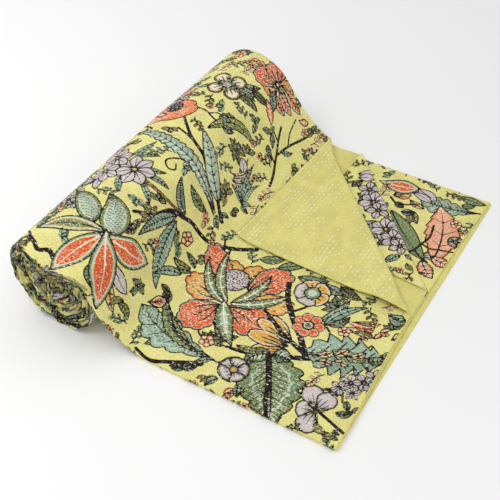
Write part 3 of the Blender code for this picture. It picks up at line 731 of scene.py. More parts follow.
THIRD_LEAVES = (
    ("lobed", 5, 535, 105, 520, 46, -6), ("dark", 135, 470, 40, 385, 40, 5),
    ("blush", 30, 390, 70, 520, 60, 10), ("ochre", 120, 510, 90, 500, 13, 2),
    ("aqua", 95, 390, 50, 365, 22, 4), ("lily", 185, 530, 115, 545, 36, 4),
    ("lilac", 120, 545, 80, 530, 24, 2), ("lilac", 125, 530, 85, 520, 16, -2),
    ("green", 135, 495, 120, 485, 14, 2), ("dark", 40, 540, 20, 550, 13, 2),
    ("olive", 100, 485, 85, 460, 14, 3), ("brown", 105, 480, 95, 455, 11, 2),
    ("blush", 45, 385, 15, 355, 26, 3), ("blush", 35, 400, 0, 395, 24, 3), ("dark", 80, 385, 35, 345, 18, 3),
    ("dark", 50, 560, 5, 560, 18, 2), ("net", 120, 475, 100, 485, 16, 2),
)
THIRD_PETALS = (("honey", 150, 505, 125, 525, 26), ("pale", 50, 395, 30, 405, 20))
THIRD_STEMS = (
    ("ink", 3, 4, (60, 470), (55, 440), (60, 420), (65, 400), (75, 385)),
    ("ink", 3, 3, (60, 420), (45, 415), (30, 420), (10, 425)),
    ("ink", 4, 3, (150, 500), (135, 490), (120, 495), (105, 505)),
    ("ink", 3, 3, (70, 350), (50, 350), (30, 360)), ("ink", 3, 2, (65, 400), (50, 390), (35, 385)),
)
THIRD_FLOWERS = (
    ("rosebud", 30, 490, 10, 5, 0), ("anemone", 15, 450, 13, 5, 0),
)


def bearings(line):
    """The way along a line at each of its points, and the way to its left."""
    way = unit(np.gradient(line, axis=0))
    return way, np.stack([-way[:, 1], way[:, 0]], 1)


def bowed(start, end, bow, count):
    """A line from start to end that bows sideways."""
    start, end = np.array(start, float), np.array(end, float)
    way = end - start
    side = np.array((-way[1], way[0])) / max(np.hypot(*way), TINY)
    t = np.linspace(0, 1, count)[:, None]
    return start + way * t + side * bow * 4 * t * (1 - t)


def smooth_line(points, per=6):
    """A curve through the points."""
    points = np.array(points, float)
    ends = np.concatenate([2 * points[:1] - points[1:2], points, 2 * points[-1:] - points[-2:-1]])
    out = []
    for a, b, c, d in zip(ends, ends[1:], ends[2:], ends[3:]):
        t = np.linspace(0, 1, per, endpoint=False)[:, None]
        out.append(b + 0.5 * t * (c - a + t * (2 * a - 5 * b + 4 * c - d + t * (3 * (b - c) + d - a))))
    return np.concatenate([*out, points[-1:]])


class Print:
    """A painted stretch of cloth: its colour, and how deep each place lies in a dark or a pale line."""

    def __init__(self, low, high):
        self.low = np.array(low) * MM
        self.shape = tuple(np.ceil((np.array(high) * MM - self.low) / STEP).astype(int) + 1)
        self.colour = np.empty((*self.shape, 3))
        self.colour[:] = GROUND
        self.ink = np.full(self.shape, -FAR)
        self.pale = np.full(self.shape, -FAR)
        self.busy = np.zeros(self.shape, bool)

    def measure(self, points, margin, widths=None):
        """The window of the page round a line, or None if the page doesn't reach there.

        Also how far each of its places is from the line, less half the line's width, and which lie inside.
        """
        low = np.floor((points.min(0) - margin - self.low) / STEP).astype(int)
        high = np.ceil((points.max(0) + margin - self.low) / STEP).astype(int) + 1
        low, high = np.maximum(low, 0), np.minimum(high, self.shape)
        if np.any(high <= low):
            return None, None, None
        s = (self.low[0] + np.arange(low[0], high[0]) * STEP)[:, None]
        y = (self.low[1] + np.arange(low[1], high[1]) * STEP)[None, :]
        away = np.full((s.size, y.size), 1.0)
        inside = np.zeros(away.shape, bool)
        widths = np.zeros(len(points)) if widths is None else widths
        for a, b, w, v in zip(points, points[1:], widths, widths[1:]):
            ds, dy = b - a
            t = np.clip(((s - a[0]) * ds + (y - a[1]) * dy) / max(ds * ds + dy * dy, TINY), 0, 1)
            gap = np.hypot(s - a[0] - t * ds, y - a[1] - t * dy)
            away = np.minimum(away, gap - (w + (v - w) * t) / 2)
            if a[1] != b[1]:
                crosses = (a[1] > y) != (b[1] > y)
                inside ^= crosses & (s < ds * (y - a[1]) / dy + a[0])
        return (slice(low[0], high[0]), slice(low[1], high[1])), away, inside

    def fill(self, outline, layers, line=LINE):
        """Fill an outline. layers are colours from the rim inwards and the depth in mm where each starts."""
        where, away, inside = self.measure(closed(outline), FAR)
        if where is None:
            return
        deep = np.where(inside, away, -away)
        colour = self.colour[where]
        for name, start in layers:
            share = smooth((deep - start * MM) / STEP + 0.5)[..., None]
            colour[:] = blend(colour, TONES[name], share)
        self.ink[where] = np.maximum(np.where(deep > 0, -FAR, self.ink[where]), line / 2 - away)
        self.pale[where] = np.where(deep > -line, -FAR, self.pale[where])
        self.busy[where] |= deep > 0

    def shade(self, outline, share):
        """Darken what lies inside an outline, less so near its rim."""
        where, away, inside = self.measure(closed(outline), 0.0)
        if where is not None:
            share = (share * inside * smooth(away / SHADE_RIM + 0.3))[..., None]
            self.colour[where] = blend(self.colour[where], TONES["deep"], share)

    def stroke(self, points, start, end, name):
        """A line, with its width in mm at each end. ink and pale lines stay crisp, others are a colour."""
        widths = np.linspace(start, end, len(points)) * MM
        where, away, _ = self.measure(points, FAR + max(start, end) * MM, widths)
        if where is None:
            return
        if name in ("ink", "pale"):
            depth = self.ink if name == "ink" else self.pale
            depth[where] = np.maximum(depth[where], -away)
        else:
            share = smooth(-away / STEP + 0.5)[..., None]
            self.colour[where] = blend(self.colour[where], TONES[name], share)
            self.ink[where] = np.maximum(np.where(away < 0, -FAR, self.ink[where]), HAIR_LINE - np.abs(away))
        self.busy[where] |= away < 0

    def leaf(self, kind, s, y, to_s, to_y, width, bow=0):
        layers, vein, ribs, notches, cut, widest, form, ticks = LEAVES[kind]
        count = 20 + 6 * notches
        spine = bowed((s * MM, y * MM), (to_s * MM, to_y * MM), bow * MM, count)
        t = np.linspace(0, 1, count)
        half = np.sin(math.pi * t ** (math.log(0.5) / math.log(widest))) ** 0.9
        if form == "teeth":
            half = half * (1 - cut * np.mod(t * notches + 0.35, 1.0))
        elif form == "lobes":
            half = half * (1 - cut * (1 - np.abs(np.sin(math.pi * t * notches)) ** 0.5))
        half = half * width * MM / 2
        way, side = bearings(spine)
        rim = side * half[:, None]
        outline = next(line for least, line in LEAF_LINES if width > least)
        self.fill(np.concatenate([spine + rim, (spine - rim)[::-1]]), layers, outline)
        if width > MIDDLING and kind not in WARM:
            self.shade(np.concatenate([spine, (spine + rim)[::-1]]), 0.30)
        if width > MIDDLING and ticks:
            self.ticks(spine, rim * 0.62, way, int(width * count / 34), ticks)
        if width > 5 and vein:
            self.stroke(spine[: int(count * 0.94)], 0.035 * width + 0.8, 0.7, vein)
        for k in range(ribs if width > MIDDLING else 0):
            root = int(count * (0.08 + 0.80 * k / ribs))
            for out in (-1, 1):
                tip = spine[root] + (out * side[root] * 0.80 + way[root] * 0.60) * half[root] * 0.86
                self.stroke(np.array([spine[root], tip]), 1.1, 0.8, vein)

    def ticks(self, spine, reach, way, count, name):
        """Short strokes spread over a form round its spine."""
        for k in range(count):
            root = int((k + 0.5) / count * (len(spine) - 1))
            spot = spine[root] + reach[root] * (2 * ((k * GOLDEN) % 1) - 1)
            turn_by = 1.4 * math.sin(2.4 * k)
            c, d = math.cos(turn_by), math.sin(turn_by)
            a, b = way[root]
            run = np.array((a * c - b * d, a * d + b * c)) * 0.0013
            self.stroke(np.array([spot - run, spot + run]), 0.9, 0.9, name)

    def petal(self, kind, s, y, to_s, to_y, width):
        """A petal with a lobed end. Those with ticks are speckled with small discs too."""
        layers, lobes, vein, ticks = PETALS[kind]
        base, tip = np.array((s, y)) * MM, np.array((to_s, to_y)) * MM
        length, way = np.hypot(*(tip - base)), unit(tip - base)
        side = np.array((-way[1], way[0])) * width * MM
        spread = np.linspace(-math.pi, math.pi, 97)
        lobe = np.abs(np.sin(spread * lobes / 2)) ** 0.6 - 0.7
        scallop = 1 + 0.15 * lobe * smooth((2.4 - np.abs(spread)) / 0.8)
        along = length * (0.54 + 0.46 * np.cos(spread) * scallop)
        pinch = np.clip(along / length / 0.55, 0, 1) ** 0.55
        aside = np.sin(spread) / 2 * scallop * pinch
        rim = base + along[:, None] * way + aside[:, None] * side
        self.fill(rim, layers, PETAL_LINE)
        self.shade(base + (rim - base) * 0.55, 0.22)
        if ticks:
            spine = bowed(base + way * length * 0.20, base + way * length * 0.86, 0.0, 24)
            reach, ways = (np.broadcast_to(v, spine.shape) for v in (side * 0.30, way))
            self.ticks(spine, reach, ways, int(length * width / MM / 64), ticks)
            for k in range(6):
                spot = base + way * length * (0.42 + 0.08 * k) + side * 0.26 * math.sin(2.4 * k + 0.6)
                self.disc(*(spot / MM), 1.7, (("grey", 0), ("mist", 0.7)), 0.0006)
        for k in (-1, 0, 1):
            start = base + way * length * 0.10
            end = base + way * length * (0.66 - 0.10 * abs(k)) + side * k * 0.24
            self.stroke(bowed(start, end, k * 0.002, 6), 1.1, 0.7, vein)

    def disc(self, s, y, radius, layers, line=LINE):
        ring = np.linspace(0, 2 * math.pi, 25)[:-1]
        self.fill(np.stack([s + radius * np.cos(ring), y + radius * np.sin(ring)], 1) * MM, layers, line)

    def around(self, kinds, s, y, reach, start, width, count, turn_by):
        """Petals or leaves set round a place, of the kinds in turn. start is a share of their reach."""
        for k in range(count):
            angle = math.radians(turn_by) + 2 * math.pi * k / count
            kind, tip = kinds[k % len(kinds)], polar(s, y, reach, angle)
            if kind == "round":
                self.disc(*tip, width / 2, ROUND_PETAL)
            else:
                draw = self.petal if kind in PETALS else self.leaf
                draw(kind, *polar(s, y, start * reach, angle), *tip, width)

    def flower(self, kind, s, y, radius, count, turn_by):
        kinds, reach, start, width, heart, layers, line = FLOWER_KINDS[kind]
        self.around(kinds, s, y, radius * reach, start, radius * width, count, turn_by)
        if kind == "paisley":
            self.around(("hatch",), s, y, radius * 0.45, 0.12, radius * 0.2, 6, 15)
        self.disc(s, y, radius * heart, layers, line)

    def tuft(self, kind, s, y, length, count, heading, spread):
        width = max(3.2, min(11, 1.3 * length / count**0.5))
        for k in range(count):
            angle = math.radians(heading + spread * (k / max(count - 1, 1) - 0.5))
            tip = polar(s, y, length * (0.86 + 0.22 * math.cos(5.0 * k)), angle)
            self.leaf(kind, s, y, *tip, width, 1.2 if k % 2 else -1.2)

    def sprig(self, kind, s, y, length, angle):
        """A thin stem with small leaves to both sides and one at its tip."""
        stem = bowed((s, y), polar(s, y, length, angle), 3, 13)
        self.stroke(stem * MM, 1.5, 0.9, "ink")
        way, side = bearings(stem)
        for k in range(2, 12, 2):
            out = 1 if k % 4 else -1
            reach = length * (0.40 - 0.014 * k)
            self.leaf(kind, *stem[k], *(stem[k] + (side[k] * out * 0.8 + way[k] * 0.7) * reach), 6.0, out)
        self.leaf(kind, *stem[-2], *(stem[-1] + way[-1] * 5), 6.0)

    def speckle(self, s, y, radius):
        """A grey oval heart with dark grains."""
        self.disc(s, y, radius, (("ink", 0), ("grey", 1.0), ("lilac", 4.0)), 0.0020)
        for k in range(GRAINS):
            spot = np.array(polar(s, y, radius * 0.86 * math.sqrt((k + 0.5) / GRAINS), 2.4 * k)) * MM
            self.stroke(np.array([spot, spot + 0.0014 * math.cos(k)]), 2.0, 1.4, "ink")

    def draw(self, leaves=(), petals=(), flowers=(), stems=(), tufts=()):
        for name, start, end, *points in stems:
            self.stroke(smooth_line(points) * MM, start, end, name)
        motifs = (self.tuft, tufts), (self.petal, petals), (self.leaf, leaves), (self.flower, flowers)
        for motif, rows in motifs:
            for row in rows:
                motif(*row)

    def sprinkle(self, seed):
        """Sprigs with rosebuds and, in narrower places, tufts wherever enough ground is bare."""
        low = self.low / MM
        tries = [int(n * STEP / MM / PACE) for n in self.shape]
        for i in range(tries[0]):
            for j in range(tries[1]):
                draw = [float(lattice(np.array(i), np.array(j), seed + k)) for k in range(5)]
                s, y = low[0] + PACE * (i + draw[0]), low[1] + PACE * (j + draw[1])
                heading, angle = 360 * draw[2], math.radians(360 * draw[2])
                kind = SPRIGS[int(draw[4] * len(SPRIGS))]
                if draw[3] < 0.88 and self.bare(s - low[0], y - low[1], 11):
                    size = 26 + 10 * draw[3]
                    self.sprig(kind, *polar(s, y, -0.4 * size, angle), size, angle)
                    if draw[3] > 0.42:
                        self.flower("rosebud", *polar(s, y, 0.6 * size, angle), 6, 5, 0)
                elif draw[3] < 0.25 and self.bare(s - low[0], y - low[1], 9):
                    self.tuft(kind, s, y, 15, 5, heading, 150)

    def bare(self, s, y, reach):
        """Whether nothing is painted within reach of a place, s and y mm from the page's corner."""
        a, b, keep = (int(length * MM / STEP) for length in (s, y, reach))
        return not self.busy[max(a - keep, 0) : a + keep, max(b - keep, 0) : b + keep].any()

    def sample(self, s, y):
        """Colour, ink and pale line at places on the cloth."""
        i, j = (s - self.low[0]) / STEP, (y - self.low[1]) / STEP
        return [between(layer, i, j) for layer in (self.colour, self.ink, self.pale)]


def moved(rows, ds, dy):
    """The rows of a table of leaves or petals moved along the cloth and across it."""
    return [(kind, s + ds, y + dy, to_s + ds, to_y + dy, *rest) for kind, s, y, to_s, to_y, *rest in rows]


def moved_places(rows, ds, dy):
    """The same for rows that hold one place."""
    return [(kind, s + ds, y + dy, *rest) for kind, s, y, *rest in rows]


def moved_stems(rows, ds, dy):
    return [(name, start, end, *((s + ds, y + dy) for s, y in points)) for name, start, end, *points in rows]


# the corners of the painted pages, in mm on the cloth
TOP_PAGE = ((-25, -12), (960, 584))
CORNER_PAGE = ((-25, 300), (330, 584))
EDGE_PAGE = ((0, -5), (600, 65))
REPEAT = 560  # mm along the cloth from one showing of the print to the next
DROP = 286  # and across it, behind
EDGE_MOTIFS = ("dark", "aqua", "green", "lilac", "net", "coral", "dark", "aqua", "green", "lilac", "ink")
EDGE_LEAVES = 270


def top_print():
    """The top layer and the roll: the print stands once in front and twice, side by side, behind."""
    page = Print(*TOP_PAGE)
    for by in ((REPEAT, DROP), (REPEAT, 0), (0, 0)):
        page.draw(
            stems=moved_stems(TOP_STEMS, *by),
            tufts=moved_places(TOP_TUFTS, *by),
            petals=moved(TOP_PETALS, *by),
            leaves=moved(TOP_LEAVES, *by),
        )
        for heart in TOP_HEARTS:
            page.speckle(heart[0] + by[0], heart[1] + by[1], heart[2])
        page.draw(stems=moved_stems(LATE_STEMS, *by))
        page.draw(leaves=moved(LATE_LEAVES + SEPALS, *by), flowers=moved_places(FLOWERS, *by))
    page.sprinkle(seed=21)
    return page


def corner_print(seed, leaves, petals, flowers, stems):
    """The print on a layer that shows only at its corner."""
    page = Print(*CORNER_PAGE)
    page.draw(leaves, petals, flowers)
    page.draw(stems=stems)
    page.sprinkle(seed)
    return page


def edge_print():
    """A crowded strip of the print, as the folded edges at the roll's ends show it."""
    page = Print(*EDGE_PAGE)
    for k in range(EDGE_LEAVES):
        s, y = EDGE_PAGE[1][0] * ((k * GOLDEN) % 1), 60 * ((k * SILVER) % 1)
        tip = polar(s, y, 32 + 10 * math.sin(k), 0.7 * math.sin(2.4 * k))
        page.leaf(EDGE_MOTIFS[k % len(EDGE_MOTIFS)], s, y, *tip, 11 + 3 * math.sin(1.7 * k), 3)
    return page


# ------------------------------------------------------------------------------- the pieces

U_END = ROOT_FROM_HEM + 0.008
W_FLAT = ACROSS - EDGE
HEM = 0.0105  # width of the turned-in hem
HEM_STEP = 0.0018  # over which the hem rises
HEM_THICKER = 0.30  # share by which the cloth is thicker there
RELIEF_SINK = 0.0001  # the relief's lowest places lie this far inside the cloth
SHOWS_FROM_Y = 0.24  # the second layer's plain side is hidden nearer to the folds than this
BACK = (PLAIN, -FAR, -FAR)  # the plain side's paint


def count_of(length, cell=CELL):
    return int(round(length / cell / 4)) * 4


def thickness(u, y, on_long_hem):
    """Half the cloth's thickness with its relief, more where its hem is turned in."""
    long_hem = smooth((y - (ACROSS - HEM)) / HEM_STEP) * on_long_hem
    hem = np.maximum(smooth((HEM - (u - u[:1])) / HEM_STEP), long_hem)
    return CLOTH / 2 * (1 + HEM_THICKER * hem) + quilting(u, y) - RELIEF_SINK


def spread_out(lag, y):
    """The places u and y of a layer's grid, from its end hem, which lags behind the lowest one's."""
    g = np.linspace(0, 1, count_of(U_END) + 1)[:, None]
    return np.broadcast_arrays(lag + (U_END - lag) * g, y)


def laid(folded, turned_at, flat_at, h):
    """The middle of a layer's cloth: folded says where turned_at holds for its places and not flat_at."""
    middle = lie(np.where(folded, turned_at[0], flat_at[0]), np.where(folded, turned_at[1], flat_at[1]), h)
    middle[..., 2] = np.maximum(middle[..., 2], CLOTH / 2)
    return middle


def two_faced(cloth, middle, up, thick, front, back, paint, place):
    """Add a layer's printed face, where up points, its plain face and the rims that join them."""
    faces = [middle + up * thick[..., None], middle - up * thick[..., None]]
    for points in faces:
        points[..., 2] = np.maximum(points[..., 2], 0.0)
    # the grid's own way round and the way up say how its faces turn
    turns = (normals(middle)[4, 4] @ up[4, 4]) < 0
    cloth.add(faces[0], cells(front, turns), paint, place)
    cloth.add(faces[1], cells(back, not turns), BACK, place, BARE)
    for side, first, second, flip in (
        (np.s_[0], np.s_[0], np.s_[1], turns),
        (np.s_[-1], np.s_[-1], np.s_[-2], not turns),
        (np.s_[:, 0], np.s_[:, 0], np.s_[:, 1], not turns),
        (np.s_[:, -1], np.s_[:, -1], np.s_[:, -2], turns),
    ):
        rim = hem_rim(faces[0][side], faces[1][side], unit(middle[first] - middle[second]))
        cloth.add(rim, strip_quads(*rim.shape[:2], flip), BACK, place[side][:, None, :], BARE)
    return faces


def build_outer(materials, page):
    """The top layer with its turned corner, the near folded edge and the lowest layer."""
    m_top, m_low = count_of(W_FLAT), count_of(W_FLAT, 4 * CELL)
    bend = EDGE - CLOTH / 2
    round_it = np.linspace(0, math.pi, FOLD_CELLS + 1)[1:-1]
    # the way across, from the top layer's long hem over the near edge to the lowest layer's far edge
    y_top = np.linspace(ACROSS, EDGE, m_top + 1)
    y_low = np.linspace(EDGE, ACROSS - PITCH, m_low + 1)
    y = np.concatenate([y_top, EDGE - bend * np.sin(round_it), y_low])[None, :]
    on_top = (np.arange(y.size) <= m_top)[None, :]
    u, y = spread_out(np.where(on_top, FOLD_START_U * smooth(y / TOP_FOLD[0][1]), 0.0), y)
    tu, ty, rise, past, d = turned(TOP_FOLD, u, y)
    lift = HEM_LIFT[0] * near(tu, ty, HEM_LIFT_U, TOP_FOLD[0][1] + HEM_LIFT_SHIFT, HEM_LIFT[1]) * (past > 0)
    near_h = EDGE + bend * np.cos(round_it)
    rest = np.concatenate([np.zeros(m_top + 1), near_h, np.full(m_low + 1, CLOTH / 2)])
    top = top_height(tu, ty) + rise + lift + swell(tu, ty) * np.where(past > 0, 1, FLAT_SWELL)
    middle = laid(on_top, (tu, ty), (u, y), np.where(on_top, top, rest[None, :]))
    block = np.arange(y.shape[1] - 1)[None, CENTRES]
    centre = d[CENTRES, CENTRES]
    by_fold = (block >= m_top - 4) & (block < m_top + FOLD_CELLS)
    hidden = under_flap(TOP_FOLD, u[CENTRES, CENTRES], y[CENTRES, CENTRES], centre)
    front = np.where((block < m_top) & (centre < PRINT_PAST_FOLD) & ~hidden | by_fold, FINE, COARSE)
    back = np.where((block < m_top) & (centre > -PLAIN_BEFORE_FOLD), PLAIN_FINE, COARSE)
    cloth = Cloth()
    rounds = np.concatenate([np.zeros(m_top + 1), round_it, np.full(m_low + 1, math.pi)])[None, :]
    paint = page.sample(u, np.where(on_top, y, EDGE - EDGE * rounds))
    thick, place = thickness(u, y, on_top), np.stack([u, y], -1)
    faces = two_faced(cloth, middle, normals(middle), thick, front, back, paint, place)
    piece = cloth.build("top_and_lowest_layer", materials)
    return piece, faces, (u, y), (on_top & (d < 0.002), on_top & (past > 0))


def build_inner(materials, second_page, third_page):
    """The second layer with its turned corner, the inner near fold, the third layer and the far fold."""
    m = count_of(W_FLAT)
    bend = PITCH / 2
    far_y = ACROSS - bend - CLOTH / 2
    round_it = np.linspace(0, math.pi, FOLD_CELLS + 1)
    near_round, far_round = round_it[1:-1], round_it[1:]
    y_second, y_third = np.linspace(ACROSS, EDGE, m + 1), np.linspace(EDGE, far_y, m + 1)
    y_folds = EDGE - bend * np.sin(near_round), far_y + bend * np.sin(far_round)
    y = np.concatenate([y_second, y_folds[0], y_third, y_folds[1]])[None, :]
    index = np.arange(y.size)[None, :]
    on_second = index <= m
    on_fold = (index > m) & (index < m + FOLD_CELLS)
    far_share = np.clip((index - 2 * m - FOLD_CELLS) / FOLD_CELLS, 0, 1)
    second_lag = FOLD_START_U * smooth(y / SECOND_FOLD[0][1])
    third_lag = THIRD_LAG * smooth(y / THIRD_LAG_RUN)
    third_lag = third_lag - THIRD_RETURN * smooth((y - THIRD_RETURN_START) / THIRD_RETURN_RUN)
    third_lag = third_lag * (1 - far_share)
    u, y = spread_out(np.where(on_second, second_lag, np.where(on_fold, 0.0, third_lag)), y)
    tu, ty, rise, past, d = turned(SECOND_FOLD, u, y)
    _, h2, h3, h4 = LEVELS
    near_h, far_h = (h2 + h3) / 2 + bend * np.cos(near_round), (h3 + h4) / 2 + bend * np.cos(far_round)
    rest = np.concatenate([np.zeros(m + 1), near_h, np.full(m + 1, h3), far_h])
    h = np.where(on_second, second_height(tu, ty) + rise, rest[None, :])
    middle = laid(on_second, (tu, ty), (u, y), h)
    block = np.arange(y.shape[1] - 1)[None, CENTRES]
    centre, centre_y = d[CENTRES, CENTRES], y[CENTRES, CENTRES]
    second = block < m
    third = (block > m + FOLD_CELLS) & (block < 2 * m + FOLD_CELLS)
    far = block >= 2 * m + FOLD_CELLS
    # the printed face is up on the third layer and on the second's turned corner, and down elsewhere
    fine = second & (centre > -PLAIN_BEFORE_FOLD) | third & (centre > -FOLD_MARGIN) | far
    front = np.where(fine, FINE, COARSE)
    back = np.where(second & (centre < FOLD_MARGIN) & (centre_y > SHOWS_FROM_Y), PLAIN_FINE, COARSE)
    paint = [
        np.where(on_second[..., None] if a.ndim == 3 else on_second, a, b)
        for a, b in zip(second_page.sample(tu, ty), third_page.sample(u, y))
    ]
    cloth = Cloth()
    thick, place = thickness(u, y, on_second), np.stack([u, y], -1)
    faces = two_faced(cloth, middle, -normals(middle), thick, front, back, paint, place)
    piece = cloth.build("middle_layers", materials)
    return piece, faces, (u, y), (on_second & (past > 0), on_second & (d < 0.0) & (y > SHOWS_FROM_Y))


ROLL_FINE_TO = 0.616  # past here, behind, the roll's cells are coarser
ROOT_FADE = 0.02  # the slow lumps come up over this length from the root
RIM_FADE = 0.012  # and over this share of the way across from each rim


def build_skin(materials, page):
    """The outer face of the roll, from the root of the loose end round to where it closes."""
    s_end = path(0.0)[2] + ROLL_RADIUS * SWEEP
    s = np.linspace(ROOT_FROM_HEM, s_end, count_of(s_end - ROOT_FROM_HEM) + 1)[:, None]
    w = np.linspace(0, 1, count_of(W_FLAT) + 1)[None, :]
    points = skin(s, w)
    s, y = np.broadcast_arrays(s, EDGE + w * W_FLAT)
    # the slow relief is lower at the root and at the two rims
    full = smooth((s - ROOT_FROM_HEM) / ROOT_FADE) * smooth(np.minimum(w, 1 - w) / RIM_FADE)
    relief = quilting(s, y) + blend(FLAT_SWELL, 1.0, full) * swell(s, y)
    points = points + normals(points, -1.0) * relief[..., None]
    points[..., 2] = np.maximum(points[..., 2], 0.0)
    cloth = Cloth()
    place = np.stack([s, y], -1)
    level = np.where(s[CENTRES, CENTRES] < ROLL_FINE_TO, FINE, PLAIN_FINE)
    cloth.add(points, cells(level, True), page.sample(s, y), place)
    # the underside of the root, from where the skin closes to the loose end
    start = blend(path(y[0])[2], ROOT_FROM_HEM, 0.4)
    u = blend(start, ROOT_FROM_HEM, np.linspace(0, 1, 9)[:, None])
    under = lie(u, np.broadcast_to(points[0, :, 1] - ORIGIN[1], u.shape), 0.0)
    under = np.concatenate([points[-1:], under])
    cloth.add(under, strip_quads(*under.shape[:2], True), BACK, place[-1:], PRINTED)
    return cloth.build("roll", materials), points, (s, y), s > 0


ARC = 0.0011  # from one section of the rising edge to the next
EDGE_CELLS = 14
COILS = 2100  # sections of the edge in the roll
SHRINK = 0.62  # the print runs round the coils by this share of the outer turn's length
ROW_SHARES = 0.04  # how far across the crowded strip the turns' own rows spread
# crumples of the coils: height, how many to a radian of the roll and of the way across the edge, and a seed
CRUMPLES = ((0.00483, 2.2, 0.9, 11), (0.00391, 5.5, 1.4, 12), (0.0012, 14.0, 2.0, 13))
PLY = 0.0007  # how far each layer's edge stands out as a ridge
PLY_SINK = 0.0004
COIL_PLIES = 2.2  # the same ridges are this many times as high in the roll
WANDER = 0.0017  # the coils lie this much nearer or farther from the middle
STRIP_LENGTH = 0.58  # of the crowded print, which then starts anew
PLAIN_FROM = 0.42  # the plain side shows where the noise is over this
GROOVE_LIGHT = (0.28, 0.66)  # the light in a groove, and what is added on a ridge
LESS_INK = 0.0003
PLY_GAP_SHADE = 0.0009  # width of the painted shade line between two plies, where they gape
HOLLOW = 0.026  # how far in the crumpled cloth in the hollow middle lies
HOLLOW_LUMPS = 0.006


def end_strip(name, far, materials, page, edge_page):
    """The folded edges of the four layers, up the rise and round in the roll to its crumpled middle."""
    side = 1.0 if far else -1.0
    width = ACROSS if far else 0.0
    leave = float(path(width)[2])
    q = np.linspace(0, math.pi, EDGE_CELLS + 1)[None, :]
    inset = side * EDGE * (1 - np.sin(q))
    # each of the four layers' edges is a ridge of its own across the folded edge
    plies = PLY * np.abs(np.sin(2 * q)) - PLY_SINK
    rise_s = np.arange(ROOT_FROM_HEM, leave, ARC)[:, None]
    base = blend(width, roll_end(far, 0.0), (rise_s - ROOT_FROM_HEM) / (leave - ROOT_FROM_HEM))
    rise = lie(rise_s, base - inset + side * plies, EDGE * (1 + np.cos(q)))
    total = 2 * math.pi * TURNS
    sweep = (np.linspace(0, 1, COILS) ** 0.8 * total)[:, None]
    depth = np.clip(sweep / total + (1 - np.cos(q)) / 2 / TURNS, 0, 1)
    crumple = sum(height * noise(sweep * along, q * across, seed) for height, along, across, seed in CRUMPLES)
    crumple = crumple * (0.35 + 0.65 * np.sin(q)) * np.clip(sweep / 2.0, 0.15, 1.0)
    y = roll_end(far, sweep, depth) - inset + side * (plies * COIL_PLIES + crumple)
    wander = WANDER * noise(sweep * 3.1, 0 * q, 15) * np.clip(sweep / 3.0, 0, 1)
    band = turn(sweep, y, STACK * (1 - np.cos(q)) / 2 + wander)
    points = np.concatenate([rise, band])
    points[..., 2] = np.maximum(points[..., 2], 0.0)
    coil_s = sweep * SHRINK * ROLL_RADIUS
    # each turn shows another row of the print on its folded edges
    row = ROW_SHARES * np.mod(np.ceil(sweep / (2 * math.pi)) * ROUGH_GOLDEN, 1.0)
    band_paint = edge_page.sample(np.mod(coil_s, STRIP_LENGTH) + 0 * q, row + 1.2 * EDGE * q)
    # the plain side shows here and there, painted shade darkens the grooves, and painted shade lines mark
    # where gaps part the plies
    plain = smooth((noise(sweep * 1.6, 1.6 * q, 17) - PLAIN_FROM) * 5)
    # painted shade: the colour is darkest in the grooves between turns and lighter on the ridges
    painted_groove_shade = GROOVE_LIGHT[0] + GROOVE_LIGHT[1] * np.sin(q) ** 0.8
    band_paint[0] = blend(band_paint[0], PLAIN * 0.8, plain[..., None]) * painted_groove_shade[..., None]
    # painted shade: a dark line down the folded edge where the plies gape apart
    shade_line_at = math.pi / 2 + 0.5 * noise(sweep, 0 * q, 16)
    gap = PLY_GAP_SHADE * (0.2 + noise(sweep * 2.7, 0 * q, 18)) - EDGE * np.abs(q - shade_line_at)
    band_paint[1] = np.maximum(np.where(plain > 0.5, -FAR, band_paint[1] - LESS_INK), gap)
    rise_y = W_FLAT + EDGE * q if far else EDGE - EDGE * q
    paint = [np.concatenate(both) for both in zip(page.sample(rise_s + 0 * q, rise_y), band_paint)]
    cloth = Cloth()
    place = np.stack(np.broadcast_arrays(np.concatenate([rise_s, leave + coil_s]), q * EDGE), -1)
    cloth.add(points, strip_quads(*points.shape[:2], not far), paint, place)
    # the hollow middle is stopped by crumpled cloth some way in
    r = np.linspace(1, 0, 13)[None, :]
    a = np.linspace(0, 2 * math.pi, 73)[:, None]
    hub = turn(a + total - 2 * math.pi, 0 * r, STACK)
    wall = blend(hub[:-1].mean(0, keepdims=True), hub, r[..., None])
    # its lumps fade at its rim and where the way round starts and ends
    lumps = HOLLOW_LUMPS * noise(a * 1.9, r * 4.0, 19) * (1 - r**4) * smooth(a) * smooth(2 * math.pi - a)
    sunk = HOLLOW * smooth((1 - r) * 2.5) + lumps
    wall[..., 1] = ORIGIN[1] + roll_end(far, total, 1.0) - side * (EDGE + sunk)
    # painted shade: the crumpled cloth is darker towards the hollow's deep middle
    shaded_hollow = (PLAIN * (0.10 + 0.60 * smooth(r) + 0 * a)[..., None], -FAR, -FAR)
    place = np.stack(np.broadcast_arrays(a * 0.016, r * 0.016), -1)
    cloth.add(wall, strip_quads(*wall.shape[:2], far), shaded_hollow, place)
    return cloth.build(name, materials)


# ------------------------------------------------------------------------------ the stitches

STITCH = 0.0100  # from one stitch to the next
STITCH_LENGTH = 0.0060
STITCH_SHIFTS = (0.0022, 0.0006)  # how unevenly the stitches stand along their row and beside it
LENGTH_SHIFT = 0.0018
THREAD = 0.0012
THREAD_RISE = 0.0004
THREAD_SINK = 0.0001
PRINT_STITCH = 0.75  # the stitches' length on the print, as a share of that on the plain side
# a stitch's faces, by its corners: start, two on one side, end, two on the other side, and two on its ridge
STITCH_FACES = ((0, 1, 6), (1, 2, 6), (2, 7, 6), (2, 3, 7), (3, 4, 7), (4, 5, 7), (5, 6, 7), (5, 0, 6))


